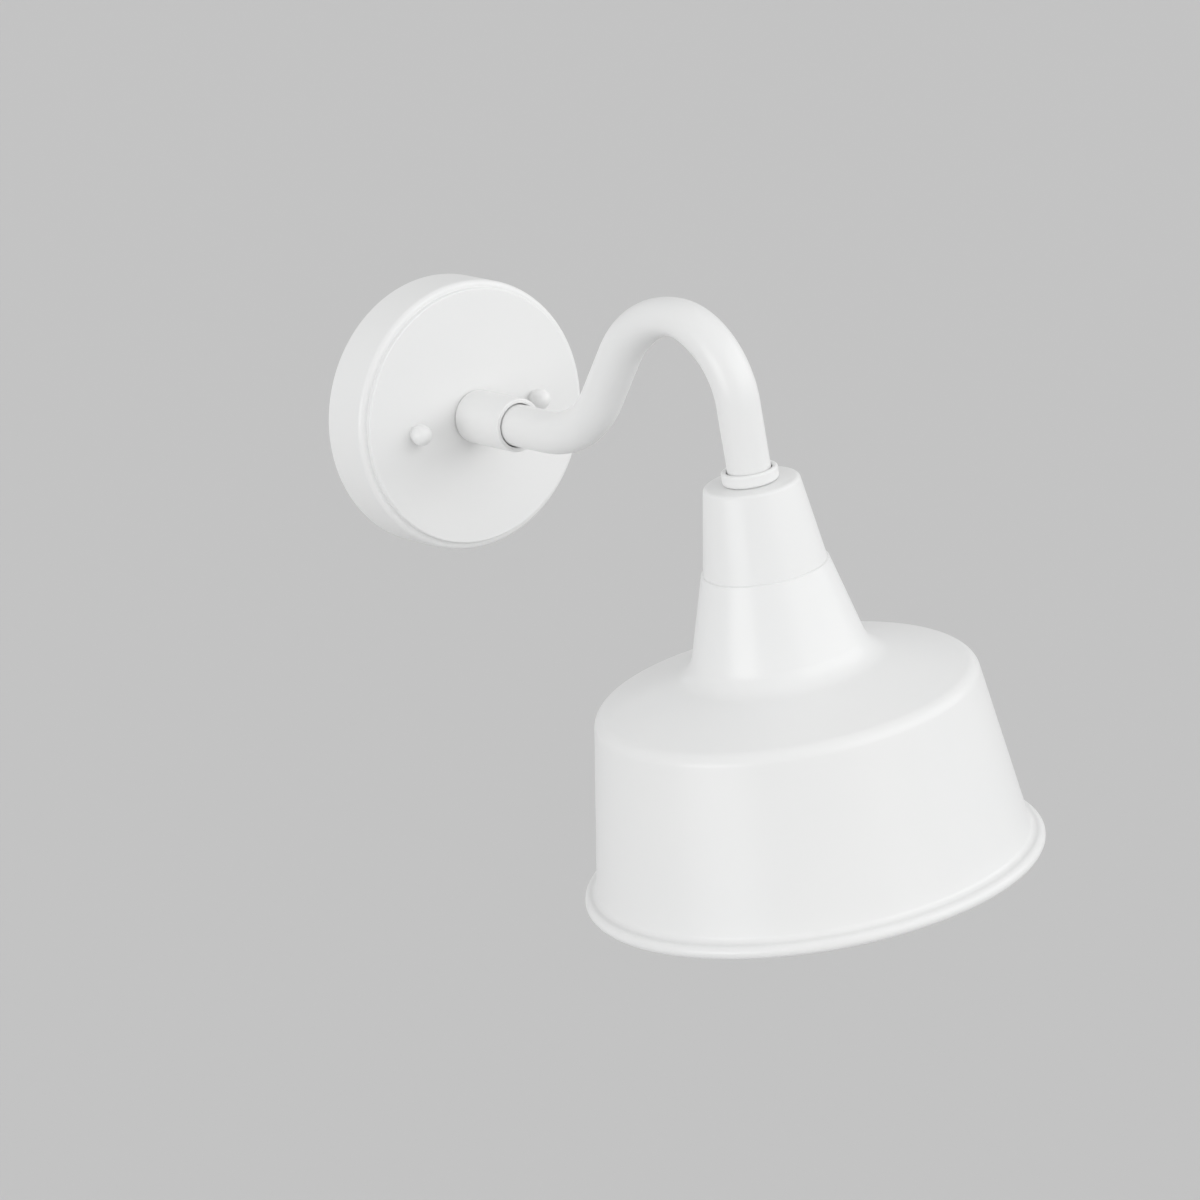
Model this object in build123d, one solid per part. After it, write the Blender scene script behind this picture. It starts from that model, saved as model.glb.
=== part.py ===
from build123d import *
import os
from math import cos, hypot, radians, sin, tan

# Gooseneck barn light for a wall. Sizes are millimetres and degrees. The origin is the
# centre of the backplate on the wall, the arm reaches out along -Y, and +Z is up.

# Backplate: a spun pan with a rim ledge and a raised face
PLATE_MARGIN = 6.5
PLATE_LEDGE_DEPTH = 25.4
PLATE_LEDGE_WIDTH = 3.4
PLATE_STEP = 2.3
PLATE_EDGE_R = 2.7
PLATE_STEP_R = 0.5
PLATE_FACE_R = 0.8
PLATE_SHEET = 1.2

# Wall strap, its studs and the ball cap nuts, in a row turned a little from level
STRAP_WIDTH = 24.0
STRAP_SHEET = 1.9
STRAP_CORNER_R = 3.0
STRAP_END = 4.5
STRAP_WIRE_HOLE_D = 16.0
BOX_SCREW_STEP = 11.1125
BOX_SLOT_LENGTH = 10.0
BOX_SLOT_WIDTH = 5.0
STUD_SPACING = 66.675
STUD_ROW_TURN = 3.0
STUD_D = 4.0
STUD_GRIP = 6.0
STUD_CHAMFER = 0.5
STUD_NUT_FLATS = 8.7
STUD_NUT_THICK = 3.2
CAP_NUT_BALL_D = 9.5
CAP_NUT_TIP = 2.0
CAP_NUT_NECK_D = 7.2
CAP_NUT_BORE_SPARE = 1.0
GROUND_SCREW_OFFSET = 19.0
GROUND_SCREW_D = 4.0
GROUND_SCREW_HEAD_D = 7.4
GROUND_SCREW_HEAD = 2.4

# Arm: one bent tube between a collar on the backplate and a ring on the neck cap
ARM_D = 19.05
ARM_SHEET = 1.24
COLLAR_WALL = 2.225
COLLAR_LENGTH = 33.4
COLLAR_FLOOR = 3.0
COLLAR_BASE_R = 1.8
COLLAR_LIP_R = 0.7
ARM_STRAIGHT_OUT = 21.3
ARM_BEND_R = 62.0
ARM_BEND_ANGLE = 49.8
ARM_BEND_RUN = 29.5
ARM_CROWN_BACK_R = 61.6
ARM_CROWN_FLAT = 0.5
ARM_CROWN_FRONT_R = 33.9
ARM_DROP_RUN = 28.5
RING_WALL = 2.425
RING_HEIGHT = 5.9
RING_FLOOR = 1.8
RING_EDGE_R = 1.0
BUSH_LENGTH = 18.0

# Threaded nipples, washers and lock nuts at both ends of the arm
NIPPLE_D = 9.7
NIPPLE_WALL = 1.35
NIPPLE_IN_BUSH = 16.0
NIPPLE_TAIL = 0.8
WASHER_D = 15.0
WASHER_THICK = 1.0
LOCK_NUT_FLATS = 14.0
LOCK_NUT_THICK = 3.5

# Neck cap and shade
NECK_TOP_D = 42.0
NECK_TOP_R = 2.0
NECK_SEAM_DROP = 38.6
NECK_LAP = 15.0
NECK_LAP_R = 8.0
SHADE_SHEET = 0.8
SHADE_SEAM_D = 56.0
SHADE_THROAT_D = 79.3
SHADE_THROAT_HEIGHT = 43.0
SHADE_THROAT_R = 13.8
SHADE_TOP_SLOPE = 16.6
SHADE_SHOULDER_R = 7.2
SHADE_DRUM_FLARE = 8.65
SHADE_D = 203.2
SHADE_HEIGHT = 180.2
SHADE_COVE_R = 3.0
SHADE_BEAD_R = 3.0
SHADE_BEAD_TURN = 275.0

# Lamp socket on its bracket
BRACKET_SHEET = 1.5
BRACKET_WIDTH = 14.0
BRACKET_NUT_ROOM = 1.25
BRACKET_LEG = 18.3
BRACKET_FOOT_EDGE = 0.75
BRACKET_BEND_R = 1.0
SOCKET_SCREW_D = 3.2
SOCKET_SCREW_HEAD_D = 5.6
SOCKET_SCREW_HEAD = 2.0
SOCKET_SCREW_ROOM = 0.65
SOCKET_SCREW_GRIP = 5.0
SOCKET_RIM = 0.75
SOCKET_WALL = 3.0
SOCKET_MOUTH_WALL = 3.15
SOCKET_HEIGHT = 38.0
SOCKET_ROOF = 7.0
SOCKET_TAPER = 14.0
SOCKET_EDGE_R = 1.2
SHELL_SHEET = 0.5
SHELL_CONTACT_ROOM = 0.85
CONTACT_SHEET = 0.6
CONTACT_WIDTH = 5.0
CONTACT_BASE = 3.5
CONTACT_KNEE = 1.0
CONTACT_BEND_R = 1.2
CONTACT_TONGUE = 5.5
CONTACT_DIP = 2.7
TERMINAL_OFFSET = 11.5
TERMINAL_PLATE = 7.0
TERMINAL_PLATE_R = 0.9
TERMINAL_PLATE_SHEET = 0.8
TERMINAL_SCREW_D = 3.0
TERMINAL_SCREW_HEAD_D = 5.4
TERMINAL_SCREW_HEAD = 1.9
TERMINAL_SCREW_GRIP = 5.0

# Leads through the arm
LEAD_D = 2.6
LEAD_CORE_D = 1.2
LEAD_ROOM = 0.3
LEAD_BEND_R = 5.5
LEAD_START = 13.0
LEAD_STRIP = 10.0
LEAD_HOOK = 7.5

# Screw-in lamp
LAMP_D = 60.0
LAMP_CAP_D = 26.0
LAMP_CAP_SHEET = 0.5
LAMP_CAP_EDGE_R = 1.6
LAMP_CAP_STANDOFF = 0.4
LAMP_CONTACT_D = 8.0
LAMP_CONTACT_LENGTH = 0.9
LAMP_CONTACT_R = 0.5
LAMP_INSULATOR_TOP_D = 10.0
LAMP_INSULATOR_BASE_D = 22.0
LAMP_INSULATOR_LENGTH = 3.0
LAMP_INSULATOR_SEAT = 1.5
LAMP_NECK_D = 28.0
LAMP_NECK_RUN = 17.0
LAMP_NECK_FLARE = 1.5
LAMP_NECK_R = 25.0
LAMP_FLARE_RUN = 16.7
LAMP_JOINT_ANGLE = 33.4
LAMP_DOME_SHEET = 1.6
LAMP_SPIGOT = 3.0

# Roundings as a share of what they round
HEAD_ROUND = 0.6
LIP_ROUND = 0.4
STEP_ROUND = 0.95

# Clearances
THREAD_GAP = 0.05
HOLE_GAP = 0.15
TUBE_GAP = 0.45
LAP_GAP = 0.15
LAMP_GAP = 0.3
LEAD_GAP = 0.1

# Worked out along the wall's normal
BOX_SCREW_SPACING = STUD_SPACING + 2 * BOX_SCREW_STEP
STRAP_LENGTH = BOX_SCREW_SPACING + BOX_SLOT_LENGTH + 2 * STRAP_END
PLATE_R = STRAP_LENGTH / 2 + PLATE_MARGIN + PLATE_SHEET
PLATE_DEPTH = PLATE_LEDGE_DEPTH + PLATE_STEP
CAP_NUT_LENGTH = STUD_GRIP + CAP_NUT_BORE_SPARE + CAP_NUT_TIP
ARM_R = ARM_D / 2
ARM_BORE_R = ARM_R + TUBE_GAP
ARM_START = PLATE_DEPTH + COLLAR_FLOOR
NIPPLE_R = NIPPLE_D / 2
NIPPLE_BORE_R = NIPPLE_R - NIPPLE_WALL
NIPPLE_HOLE_R = NIPPLE_R + HOLE_GAP
STUD_X = STUD_SPACING / 2 * cos(radians(STUD_ROW_TURN))
STUD_LIFT = STUD_SPACING / 2 * sin(radians(STUD_ROW_TURN))
STUD_LEFT = Pos(-STUD_X, STUD_LIFT, 0)
STUD_RIGHT = Pos(STUD_X, -STUD_LIFT, 0)

# The arm's line in its own plane: distance from the wall, height above the collar
BEND_TURN = radians(ARM_BEND_ANGLE)
BEND_TANGENT = ARM_BEND_R * tan(BEND_TURN / 2)
CROWN_TANGENT = ARM_CROWN_BACK_R * tan(BEND_TURN / 2)
BEND_CORNER = PLATE_DEPTH + COLLAR_LENGTH + ARM_STRAIGHT_OUT + BEND_TANGENT
RISE_LENGTH = BEND_TANGENT + ARM_BEND_RUN + CROWN_TANGENT
CROWN_CORNER = BEND_CORNER + RISE_LENGTH * cos(BEND_TURN)
CROWN_Z = RISE_LENGTH * sin(BEND_TURN)
REACH = CROWN_CORNER + CROWN_TANGENT + ARM_CROWN_FLAT + ARM_CROWN_FRONT_R
RING_TOP_Z = CROWN_Z - ARM_CROWN_FRONT_R - ARM_DROP_RUN
NECK_Z = RING_TOP_Z - RING_HEIGHT
ARM_END_Z = NECK_Z + RING_FLOOR
ARM_CORNERS = [(BEND_CORNER, 0), (CROWN_CORNER, CROWN_Z), (REACH, CROWN_Z)]
ARM_RADII = [ARM_BEND_R, ARM_CROWN_BACK_R, ARM_CROWN_FRONT_R]

# Drops below the top of the neck cap
WASHER_DROP = SHADE_SHEET
NECK_NUT_DROP = WASHER_DROP + WASHER_THICK
BRACKET_DROP = NECK_NUT_DROP + LOCK_NUT_THICK
BRACKET_NUT_DROP = BRACKET_DROP + BRACKET_SHEET
NIPPLE_END_DROP = BRACKET_NUT_DROP + LOCK_NUT_THICK + NIPPLE_TAIL
SOCKET_DROP = BRACKET_DROP + BRACKET_LEG
SOCKET_FLOOR_DROP = SOCKET_DROP + SOCKET_ROOF
SOCKET_END_DROP = SOCKET_DROP + SOCKET_HEIGHT
CONTACT_END_DROP = SOCKET_FLOOR_DROP + CONTACT_SHEET + CONTACT_DIP
LAMP_DROP = CONTACT_END_DROP + LAMP_GAP
INSULATOR_DROP = LAMP_DROP + LAMP_CONTACT_LENGTH
LAMP_CAP_DROP = INSULATOR_DROP + LAMP_INSULATOR_LENGTH
LAMP_BODY_DROP = SOCKET_END_DROP + LAMP_CAP_STANDOFF
SHADE_THROAT_DROP = NECK_SEAM_DROP + SHADE_THROAT_HEIGHT

# Radii round the socket's own axis
LAMP_SHELL_R = LAMP_CAP_D / 2 + LAMP_GAP
SHELL_R = LAMP_SHELL_R + SHELL_SHEET
CAVITY_R = SHELL_R + THREAD_GAP
BRACKET_LEG_X = LOCK_NUT_FLATS / 2 + BRACKET_NUT_ROOM + BRACKET_SHEET
SOCKET_SCREW_X = BRACKET_LEG_X + BRACKET_BEND_R + SOCKET_SCREW_ROOM + SOCKET_SCREW_HEAD_D / 2
BRACKET_FOOT_X = SOCKET_SCREW_X + SOCKET_SCREW_HEAD_D / 2 + BRACKET_FOOT_EDGE
SOCKET_R = max(BRACKET_FOOT_X + SOCKET_RIM, CAVITY_R + SOCKET_WALL)

# Places: across the wall, and hung from the top of the neck cap
WALL = Plane(origin=(0, 0, 0), x_dir=(1, 0, 0), z_dir=(0, -1, 0))
ARM_PLANE = Plane(origin=(0, 0, 0), x_dir=(0, -1, 0), z_dir=(-1, 0, 0))
NECK = Pos(0, -REACH, NECK_Z)
BASE = (Align.CENTER, Align.CENTER, Align.MIN)
ROOF = (Align.CENTER, Align.CENTER, Align.MAX)


def outline(points, radii):
    """A closed section through points, each corner rounded by its own radius."""
    return make_face(FilletPolyline(*points, radius=radii, close=True))


def beside(points, radii, gap):
    """A line of straight runs and rounded corners, moved to its right by gap, or to its left below 0."""
    points = [Vector(*point) for point in points]
    runs = [(end - start).normalized() for start, end in zip(points, points[1:])]
    sides = [Vector(run.Y, -run.X) for run in runs]
    corners = [points[0] + sides[0] * gap]
    rounds = []
    for point, before, after, radius in zip(points[1:], sides, sides[1:], radii):
        corners.append(point + (before + after) * (gap / (1 + before.dot(after))))
        turns_left = before.cross(after).Z > 0
        rounds.append(max(radius + (gap if turns_left else -gap), 0))
    corners.append(points[-1] + sides[-1] * gap)
    return FilletPolyline(*corners, radius=rounds)


def strip(line, other):
    """The section between two lines that run side by side."""
    ends = [Line(line @ 0, other @ 0), Line(line @ 1, other @ 1)]
    return make_face([*line.edges(), *other.edges(), *ends])


def sheet(points, radii, thickness):
    """A section of sheet metal that lies to the right of a line, or to its left below 0."""
    return strip(beside(points, radii, 0), beside(points, radii, thickness))


def turned(section):
    """A section of radius and height spun round the Z axis."""
    return revolve(Plane.XZ * section, Axis.Z)


def tube(outer_r, inner_r, length):
    """A plain round tube standing on the XY plane."""
    return extrude(Circle(outer_r) - Circle(inner_r), length)


def nut(flats, bore_r, thickness):
    """A hexagon nut standing on the XY plane, with flats facing X."""
    hexagon = RegularPolygon(flats / 2, 6, major_radius=False, rotation=30)
    return extrude(hexagon - Circle(bore_r), thickness)


def screw(head_r, head, shank_r, grip):
    """A pan-head screw along Z, its head standing on the XY plane and its shank below it."""
    points = [(0, -grip), (shank_r, -grip), (shank_r, 0), (head_r, 0), (head_r, head), (0, head)]
    return turned(outline(points, [0, 0, 0, 0, head * HEAD_ROUND, 0]))


def backplate():
    """The spun pan: side wall, rim ledge, raised face, with holes for the nipple and the studs."""
    face_r = PLATE_R - PLATE_LEDGE_WIDTH
    points = [
        (PLATE_R, 0),
        (PLATE_R, PLATE_LEDGE_DEPTH),
        (face_r, PLATE_LEDGE_DEPTH),
        (face_r, PLATE_DEPTH),
        (NIPPLE_HOLE_R, PLATE_DEPTH),
    ]
    face_edge_r = min(PLATE_FACE_R, (PLATE_STEP - PLATE_STEP_R) * STEP_ROUND)
    pan = turned(sheet(points, [PLATE_EDGE_R, PLATE_STEP_R, face_edge_r], -PLATE_SHEET))
    for place in (STUD_LEFT, STUD_RIGHT):
        pan -= place * Cylinder(STUD_D / 2 + HOLE_GAP, 2 * PLATE_DEPTH, align=BASE)
    return WALL * pan


def mounting_strap():
    """The flat bar screwed to the wall box, with slots for the box screws."""
    bar = RectangleRounded(STRAP_LENGTH, STRAP_WIDTH, STRAP_CORNER_R)
    bar -= Circle(STRAP_WIRE_HOLE_D / 2)
    for side in (-1, 1):
        bar -= Pos(side * BOX_SCREW_SPACING / 2, 0) * SlotOverall(BOX_SLOT_LENGTH, BOX_SLOT_WIDTH)
    for place in (STUD_LEFT, STUD_RIGHT):
        bar -= place * Circle(STUD_D / 2 + THREAD_GAP)
    bar -= Pos(GROUND_SCREW_OFFSET, 0) * Circle(GROUND_SCREW_D / 2 + THREAD_GAP)
    return WALL * extrude(bar, STRAP_SHEET)


def mounting_studs():
    """Two threaded rods from the strap out through the backplate's face."""
    r = STUD_D / 2
    length = PLATE_DEPTH + STUD_GRIP
    points = [(0, 0), (r, 0), (r, length - STUD_CHAMFER), (r - STUD_CHAMFER, length), (0, length)]
    rod = turned(outline(points, 0))
    return Compound(children=[WALL * place * rod for place in (STUD_LEFT, STUD_RIGHT)])


def stud_nuts():
    """Two nuts that lock the studs to the strap."""
    lock = nut(STUD_NUT_FLATS, STUD_D / 2 + THREAD_GAP, STUD_NUT_THICK)
    seats = [place * Pos(0, 0, STRAP_SHEET) for place in (STUD_LEFT, STUD_RIGHT)]
    return Compound(children=[WALL * place * lock for place in seats])


def cap_nut(place):
    """A ball nut with a short neck and a blind thread, drawn up against the backplate's face."""
    ball_r = CAP_NUT_BALL_D / 2
    neck = Cylinder(CAP_NUT_NECK_D / 2, CAP_NUT_LENGTH - ball_r, align=BASE)
    ball = Pos(0, 0, CAP_NUT_LENGTH - ball_r) * Sphere(ball_r)
    knob = (neck + ball) & Cylinder(CAP_NUT_BALL_D, CAP_NUT_LENGTH, align=BASE)
    bore = Cylinder(STUD_D / 2 + HOLE_GAP, STUD_GRIP + CAP_NUT_BORE_SPARE, align=BASE)
    return WALL * place * Pos(0, 0, PLATE_DEPTH) * (knob - bore)


def ground_screw():
    """The earth terminal in the strap."""
    head_r = GROUND_SCREW_HEAD_D / 2
    fixing = screw(head_r, GROUND_SCREW_HEAD, GROUND_SCREW_D / 2, STRAP_SHEET)
    return WALL * Pos(GROUND_SCREW_OFFSET, 0, STRAP_SHEET) * fixing


def arm_collar():
    """A turned cup on the backplate that the arm's wall end stands in."""
    r = ARM_BORE_R + COLLAR_WALL
    points = [
        (NIPPLE_HOLE_R, 0),
        (r, 0),
        (r, COLLAR_LENGTH),
        (ARM_BORE_R, COLLAR_LENGTH),
        (ARM_BORE_R, COLLAR_FLOOR),
        (NIPPLE_HOLE_R, COLLAR_FLOOR),
    ]
    lip_r = min(COLLAR_LIP_R, COLLAR_WALL * LIP_ROUND)
    cup = turned(outline(points, [0, COLLAR_BASE_R, lip_r, lip_r, 0, 0]))
    return WALL * Pos(0, 0, PLATE_DEPTH) * cup


def arm_tube():
    """The gooseneck: straight out, up through an S, over the crown and straight down."""
    points = [(ARM_START, 0), *ARM_CORNERS, (REACH, ARM_END_Z)]
    line = ARM_PLANE * FilletPolyline(*points, radius=ARM_RADII)
    ring = WALL * Pos(0, 0, ARM_START) * (Circle(ARM_R) - Circle(ARM_R - ARM_SHEET))
    return sweep(ring, path=line)


def arm_end_bushes():
    """Threaded plugs brazed into both ends of the arm."""
    plug = tube(ARM_R - ARM_SHEET - THREAD_GAP, NIPPLE_R + THREAD_GAP, BUSH_LENGTH)
    at_wall = WALL * Pos(0, 0, ARM_START) * plug
    at_shade = Pos(0, -REACH, ARM_END_Z) * plug
    return Compound(children=[at_wall, at_shade])


def wall_nipple():
    """The hollow threaded rod from the wall bush through the collar and the backplate."""
    start = PLATE_DEPTH - PLATE_SHEET - WASHER_THICK - LOCK_NUT_THICK - NIPPLE_TAIL
    length = ARM_START + NIPPLE_IN_BUSH - start
    return WALL * Pos(0, 0, start) * tube(NIPPLE_R, NIPPLE_BORE_R, length)


def wall_lock_washer():
    """The washer under the lock nut, inside the backplate."""
    ring = tube(WASHER_D / 2, NIPPLE_HOLE_R, WASHER_THICK)
    return WALL * Pos(0, 0, PLATE_DEPTH - PLATE_SHEET - WASHER_THICK) * ring


def wall_lock_nut():
    """The nut that clamps the backplate to the collar and the arm."""
    start = PLATE_DEPTH - PLATE_SHEET - WASHER_THICK - LOCK_NUT_THICK
    return WALL * Pos(0, 0, start) * nut(LOCK_NUT_FLATS, NIPPLE_R + THREAD_GAP, LOCK_NUT_THICK)


# The leads end beside their terminal screws, lying on the brass plates
LEAD_DROP = SOCKET_DROP - TERMINAL_PLATE_SHEET - LEAD_CORE_D / 2 - THREAD_GAP
LEAD_Z = NECK_Z - LEAD_DROP
LEAD_X = (LEAD_D + LEAD_ROOM) / 2
LEAD_CORE_START = TERMINAL_OFFSET - TERMINAL_PLATE / 2
TERMINAL_X = LEAD_X + LEAD_CORE_D / 2 + TERMINAL_SCREW_D / 2 + LEAD_GAP


def lead(side):
    """One insulated lead down the middle of the arm to its terminal on the socket."""
    end = (REACH + side * LEAD_CORE_START, LEAD_Z)
    points = [(LEAD_START, 0), *ARM_CORNERS, (REACH, LEAD_Z), end]
    line = ARM_PLANE * FilletPolyline(*points, radius=[*ARM_RADII, LEAD_BEND_R])
    section = WALL * Pos(0, 0, LEAD_START) * Circle(LEAD_D / 2)
    return Pos(side * LEAD_X, 0, 0) * sweep(section, path=line)


def lead_ends():
    """The stripped copper ends: two behind the backplate and two at the terminals."""
    core_r = LEAD_CORE_D / 2
    ends = []
    for side in (-1, 1):
        x = side * LEAD_X
        tail = Cylinder(core_r, LEAD_STRIP, align=BASE)
        ends.append(WALL * Pos(x, 0, LEAD_START - LEAD_STRIP) * tail)
        start = REACH + side * LEAD_CORE_START
        hook = Plane(origin=(x, -start, LEAD_Z), x_dir=(1, 0, 0), z_dir=(0, -side, 0))
        ends.append(hook * Cylinder(core_r, LEAD_HOOK, align=BASE))
    return Compound(children=ends)


def shade_ring():
    """The shallow cup between the arm's lower end and the neck cap."""
    r = ARM_BORE_R + RING_WALL
    points = [
        (NIPPLE_HOLE_R, 0),
        (r, 0),
        (r, RING_HEIGHT),
        (ARM_BORE_R, RING_HEIGHT),
        (ARM_BORE_R, RING_FLOOR),
        (NIPPLE_HOLE_R, RING_FLOOR),
    ]
    lip_r = min(RING_EDGE_R, RING_WALL * LIP_ROUND)
    return NECK * turned(outline(points, [0, RING_EDGE_R, lip_r, lip_r, 0, 0]))


def shade_nipple():
    """The hollow threaded rod from the arm's lower bush through the ring, neck cap and bracket."""
    length = NIPPLE_END_DROP + RING_FLOOR + NIPPLE_IN_BUSH
    return NECK * Pos(0, 0, -NIPPLE_END_DROP) * tube(NIPPLE_R, NIPPLE_BORE_R, length)


def shade_lock_washer():
    """The washer inside the neck cap."""
    return NECK * Pos(0, 0, -NECK_NUT_DROP) * tube(WASHER_D / 2, NIPPLE_HOLE_R, WASHER_THICK)


def shade_lock_nuts():
    """One nut clamps the neck cap to the arm, the other the socket's bracket under it."""
    lock = nut(LOCK_NUT_FLATS, NIPPLE_R + THREAD_GAP, LOCK_NUT_THICK)
    on_neck = NECK * Pos(0, 0, -NECK_NUT_DROP - LOCK_NUT_THICK) * lock
    on_bracket = NECK * Pos(0, 0, -BRACKET_NUT_DROP - LOCK_NUT_THICK) * lock
    return Compound(children=[on_neck, on_bracket])


# The shade's outer line: radius, and height below the neck cap's top
CONE_SLOPE = (SHADE_THROAT_D - SHADE_SEAM_D) / 2 / (SHADE_THROAT_DROP - NECK_SEAM_DROP)
CONE_WIDEN = (1 + CONE_SLOPE**2) ** 0.5


def neck_cap():
    """The drawn cup over the socket, with a flared skirt that the shade's neck hangs on."""
    seam_r = SHADE_SEAM_D / 2 - (SHADE_SHEET + LAP_GAP) * CONE_WIDEN
    points = [
        (NIPPLE_HOLE_R, 0),
        (NECK_TOP_D / 2, 0),
        (seam_r, -NECK_SEAM_DROP),
        (seam_r + NECK_LAP * CONE_SLOPE, -NECK_SEAM_DROP - NECK_LAP),
    ]
    return NECK * turned(sheet(points, [NECK_TOP_R, NECK_LAP_R], SHADE_SHEET))


def shade():
    """The spun shade: conical throat, sloping top, flared drum, cove and rolled bead."""
    flare = radians(SHADE_DRUM_FLARE)
    bead_x = SHADE_D / 2 - SHADE_BEAD_R
    bead_top = SHADE_BEAD_R * 2 - SHADE_HEIGHT
    drum_end = Vector(bead_x - SHADE_COVE_R * cos(flare), bead_top + SHADE_COVE_R * (1 - sin(flare)))
    throat = Vector(SHADE_THROAT_D / 2, -SHADE_THROAT_DROP)
    fall = tan(radians(SHADE_TOP_SLOPE))
    # The sloping top meets the drum's flared wall where their two lines cross
    drum_rise = (throat.Y - drum_end.Y - fall * (drum_end.X - throat.X)) / (1 - fall * tan(flare))
    shoulder = Vector(drum_end.X - drum_rise * tan(flare), drum_end.Y + drum_rise)
    points = [(SHADE_SEAM_D / 2, -NECK_SEAM_DROP), throat, shoulder, drum_end]

    def line(inset):
        """The spun line, moved into the metal by inset."""
        body = beside(points, [SHADE_THROAT_R, SHADE_SHOULDER_R], inset)
        cove = JernArc(body @ 1, body % 1, SHADE_COVE_R + inset, 90 - SHADE_DRUM_FLARE)
        bead = JernArc(cove @ 1, cove % 1, SHADE_BEAD_R - inset, -SHADE_BEAD_TURN)
        return Wire([*body.edges(), *cove.edges(), *bead.edges()])

    return NECK * turned(strip(line(0), line(SHADE_SHEET)))


def socket_bracket():
    """A hat-section strap: its crown on the nipple, its feet on the socket's roof."""
    crown = -BRACKET_DROP
    foot = BRACKET_SHEET - SOCKET_DROP
    points = [
        (-BRACKET_FOOT_X, foot),
        (-BRACKET_LEG_X, foot),
        (-BRACKET_LEG_X, crown),
        (BRACKET_LEG_X, crown),
        (BRACKET_LEG_X, foot),
        (BRACKET_FOOT_X, foot),
    ]
    outer_r = BRACKET_BEND_R + BRACKET_SHEET
    section = sheet(points, [BRACKET_BEND_R, outer_r, outer_r, BRACKET_BEND_R], BRACKET_SHEET)
    hat = extrude(Plane.XZ * section, BRACKET_WIDTH / 2, both=True)
    hat -= Pos(0, 0, crown) * Cylinder(NIPPLE_HOLE_R, BRACKET_SHEET * 3)
    for side in (-1, 1):
        hole = Cylinder(SOCKET_SCREW_D / 2 + HOLE_GAP, BRACKET_SHEET * 3)
        hat -= Pos(side * SOCKET_SCREW_X, 0, foot) * hole
    return NECK * hat


def socket_screws():
    """Two screws that hold the bracket's feet to the porcelain."""
    grip = BRACKET_SHEET + SOCKET_SCREW_GRIP
    fixing = screw(SOCKET_SCREW_HEAD_D / 2, SOCKET_SCREW_HEAD, SOCKET_SCREW_D / 2, grip)
    level = BRACKET_SHEET - SOCKET_DROP
    places = [Pos(side * SOCKET_SCREW_X, 0, level) for side in (-1, 1)]
    return Compound(children=[NECK * place * fixing for place in places])


def socket_body():
    """The porcelain lamp holder: a closed roof, a round cavity and a tapered mouth."""
    mouth_r = CAVITY_R + SOCKET_MOUTH_WALL
    rim_r = min(SOCKET_EDGE_R, SOCKET_MOUTH_WALL * LIP_ROUND)
    points = [
        (0, -SOCKET_DROP),
        (SOCKET_R, -SOCKET_DROP),
        (SOCKET_R, SOCKET_TAPER - SOCKET_END_DROP),
        (mouth_r, -SOCKET_END_DROP),
        (CAVITY_R, -SOCKET_END_DROP),
        (CAVITY_R, -SOCKET_FLOOR_DROP),
        (0, -SOCKET_FLOOR_DROP),
    ]
    body = turned(outline(points, [0, SOCKET_EDGE_R, SOCKET_EDGE_R, rim_r, rim_r, 0, 0]))
    for side in (-1, 1):
        screw_hole = Cylinder(SOCKET_SCREW_D / 2 + THREAD_GAP, SOCKET_SCREW_GRIP, align=ROOF)
        body -= Pos(side * SOCKET_SCREW_X, 0, -SOCKET_DROP) * screw_hole
        terminal_hole = Cylinder(TERMINAL_SCREW_D / 2 + THREAD_GAP, TERMINAL_SCREW_GRIP, align=ROOF)
        body -= Pos(side * TERMINAL_X, -side * TERMINAL_OFFSET, -SOCKET_DROP) * terminal_hole
    return NECK * body


def socket_shell():
    """The brass screw shell in the porcelain, open below, with a hole round the centre contact."""
    top = -SOCKET_FLOOR_DROP
    hole_r = hypot(CONTACT_BASE + CONTACT_KNEE, CONTACT_WIDTH / 2) + SHELL_CONTACT_ROOM
    points = [
        (hole_r, top),
        (SHELL_R, top),
        (SHELL_R, -SOCKET_END_DROP),
        (LAMP_SHELL_R, -SOCKET_END_DROP),
        (LAMP_SHELL_R, top - SHELL_SHEET),
        (hole_r, top - SHELL_SHEET),
    ]
    return NECK * turned(outline(points, 0))


def socket_contact():
    """The sprung brass tongue on the cavity's roof that meets the lamp's tip."""
    top = -SOCKET_FLOOR_DROP
    start = -CONTACT_BASE - CONTACT_KNEE
    tip = CONTACT_TONGUE - CONTACT_KNEE
    points = [(start, top), (-CONTACT_KNEE, top), (tip, top - CONTACT_DIP)]
    section = sheet(points, [CONTACT_BEND_R], CONTACT_SHEET)
    return NECK * extrude(Plane.XZ * section, CONTACT_WIDTH / 2, both=True)


def terminal_places(drop):
    """The two terminals on the socket's roof, one on the wall side and one in front."""
    return [NECK * Pos(side * TERMINAL_X, -side * TERMINAL_OFFSET, -drop) for side in (-1, 1)]


def terminal_plates():
    """Brass plates under the terminal screws."""
    square = RectangleRounded(TERMINAL_PLATE, TERMINAL_PLATE, TERMINAL_PLATE_R)
    plate = extrude(square - Circle(TERMINAL_SCREW_D / 2 + HOLE_GAP), TERMINAL_PLATE_SHEET)
    return Compound(children=[place * plate for place in terminal_places(SOCKET_DROP)])


def terminal_screws():
    """Screws that clamp the stripped leads on their plates."""
    lift = TERMINAL_PLATE_SHEET + LEAD_CORE_D + LEAD_GAP
    grip = lift + TERMINAL_SCREW_GRIP
    fixing = screw(TERMINAL_SCREW_HEAD_D / 2, TERMINAL_SCREW_HEAD, TERMINAL_SCREW_D / 2, grip)
    return Compound(children=[place * fixing for place in terminal_places(SOCKET_DROP - lift)])


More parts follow.
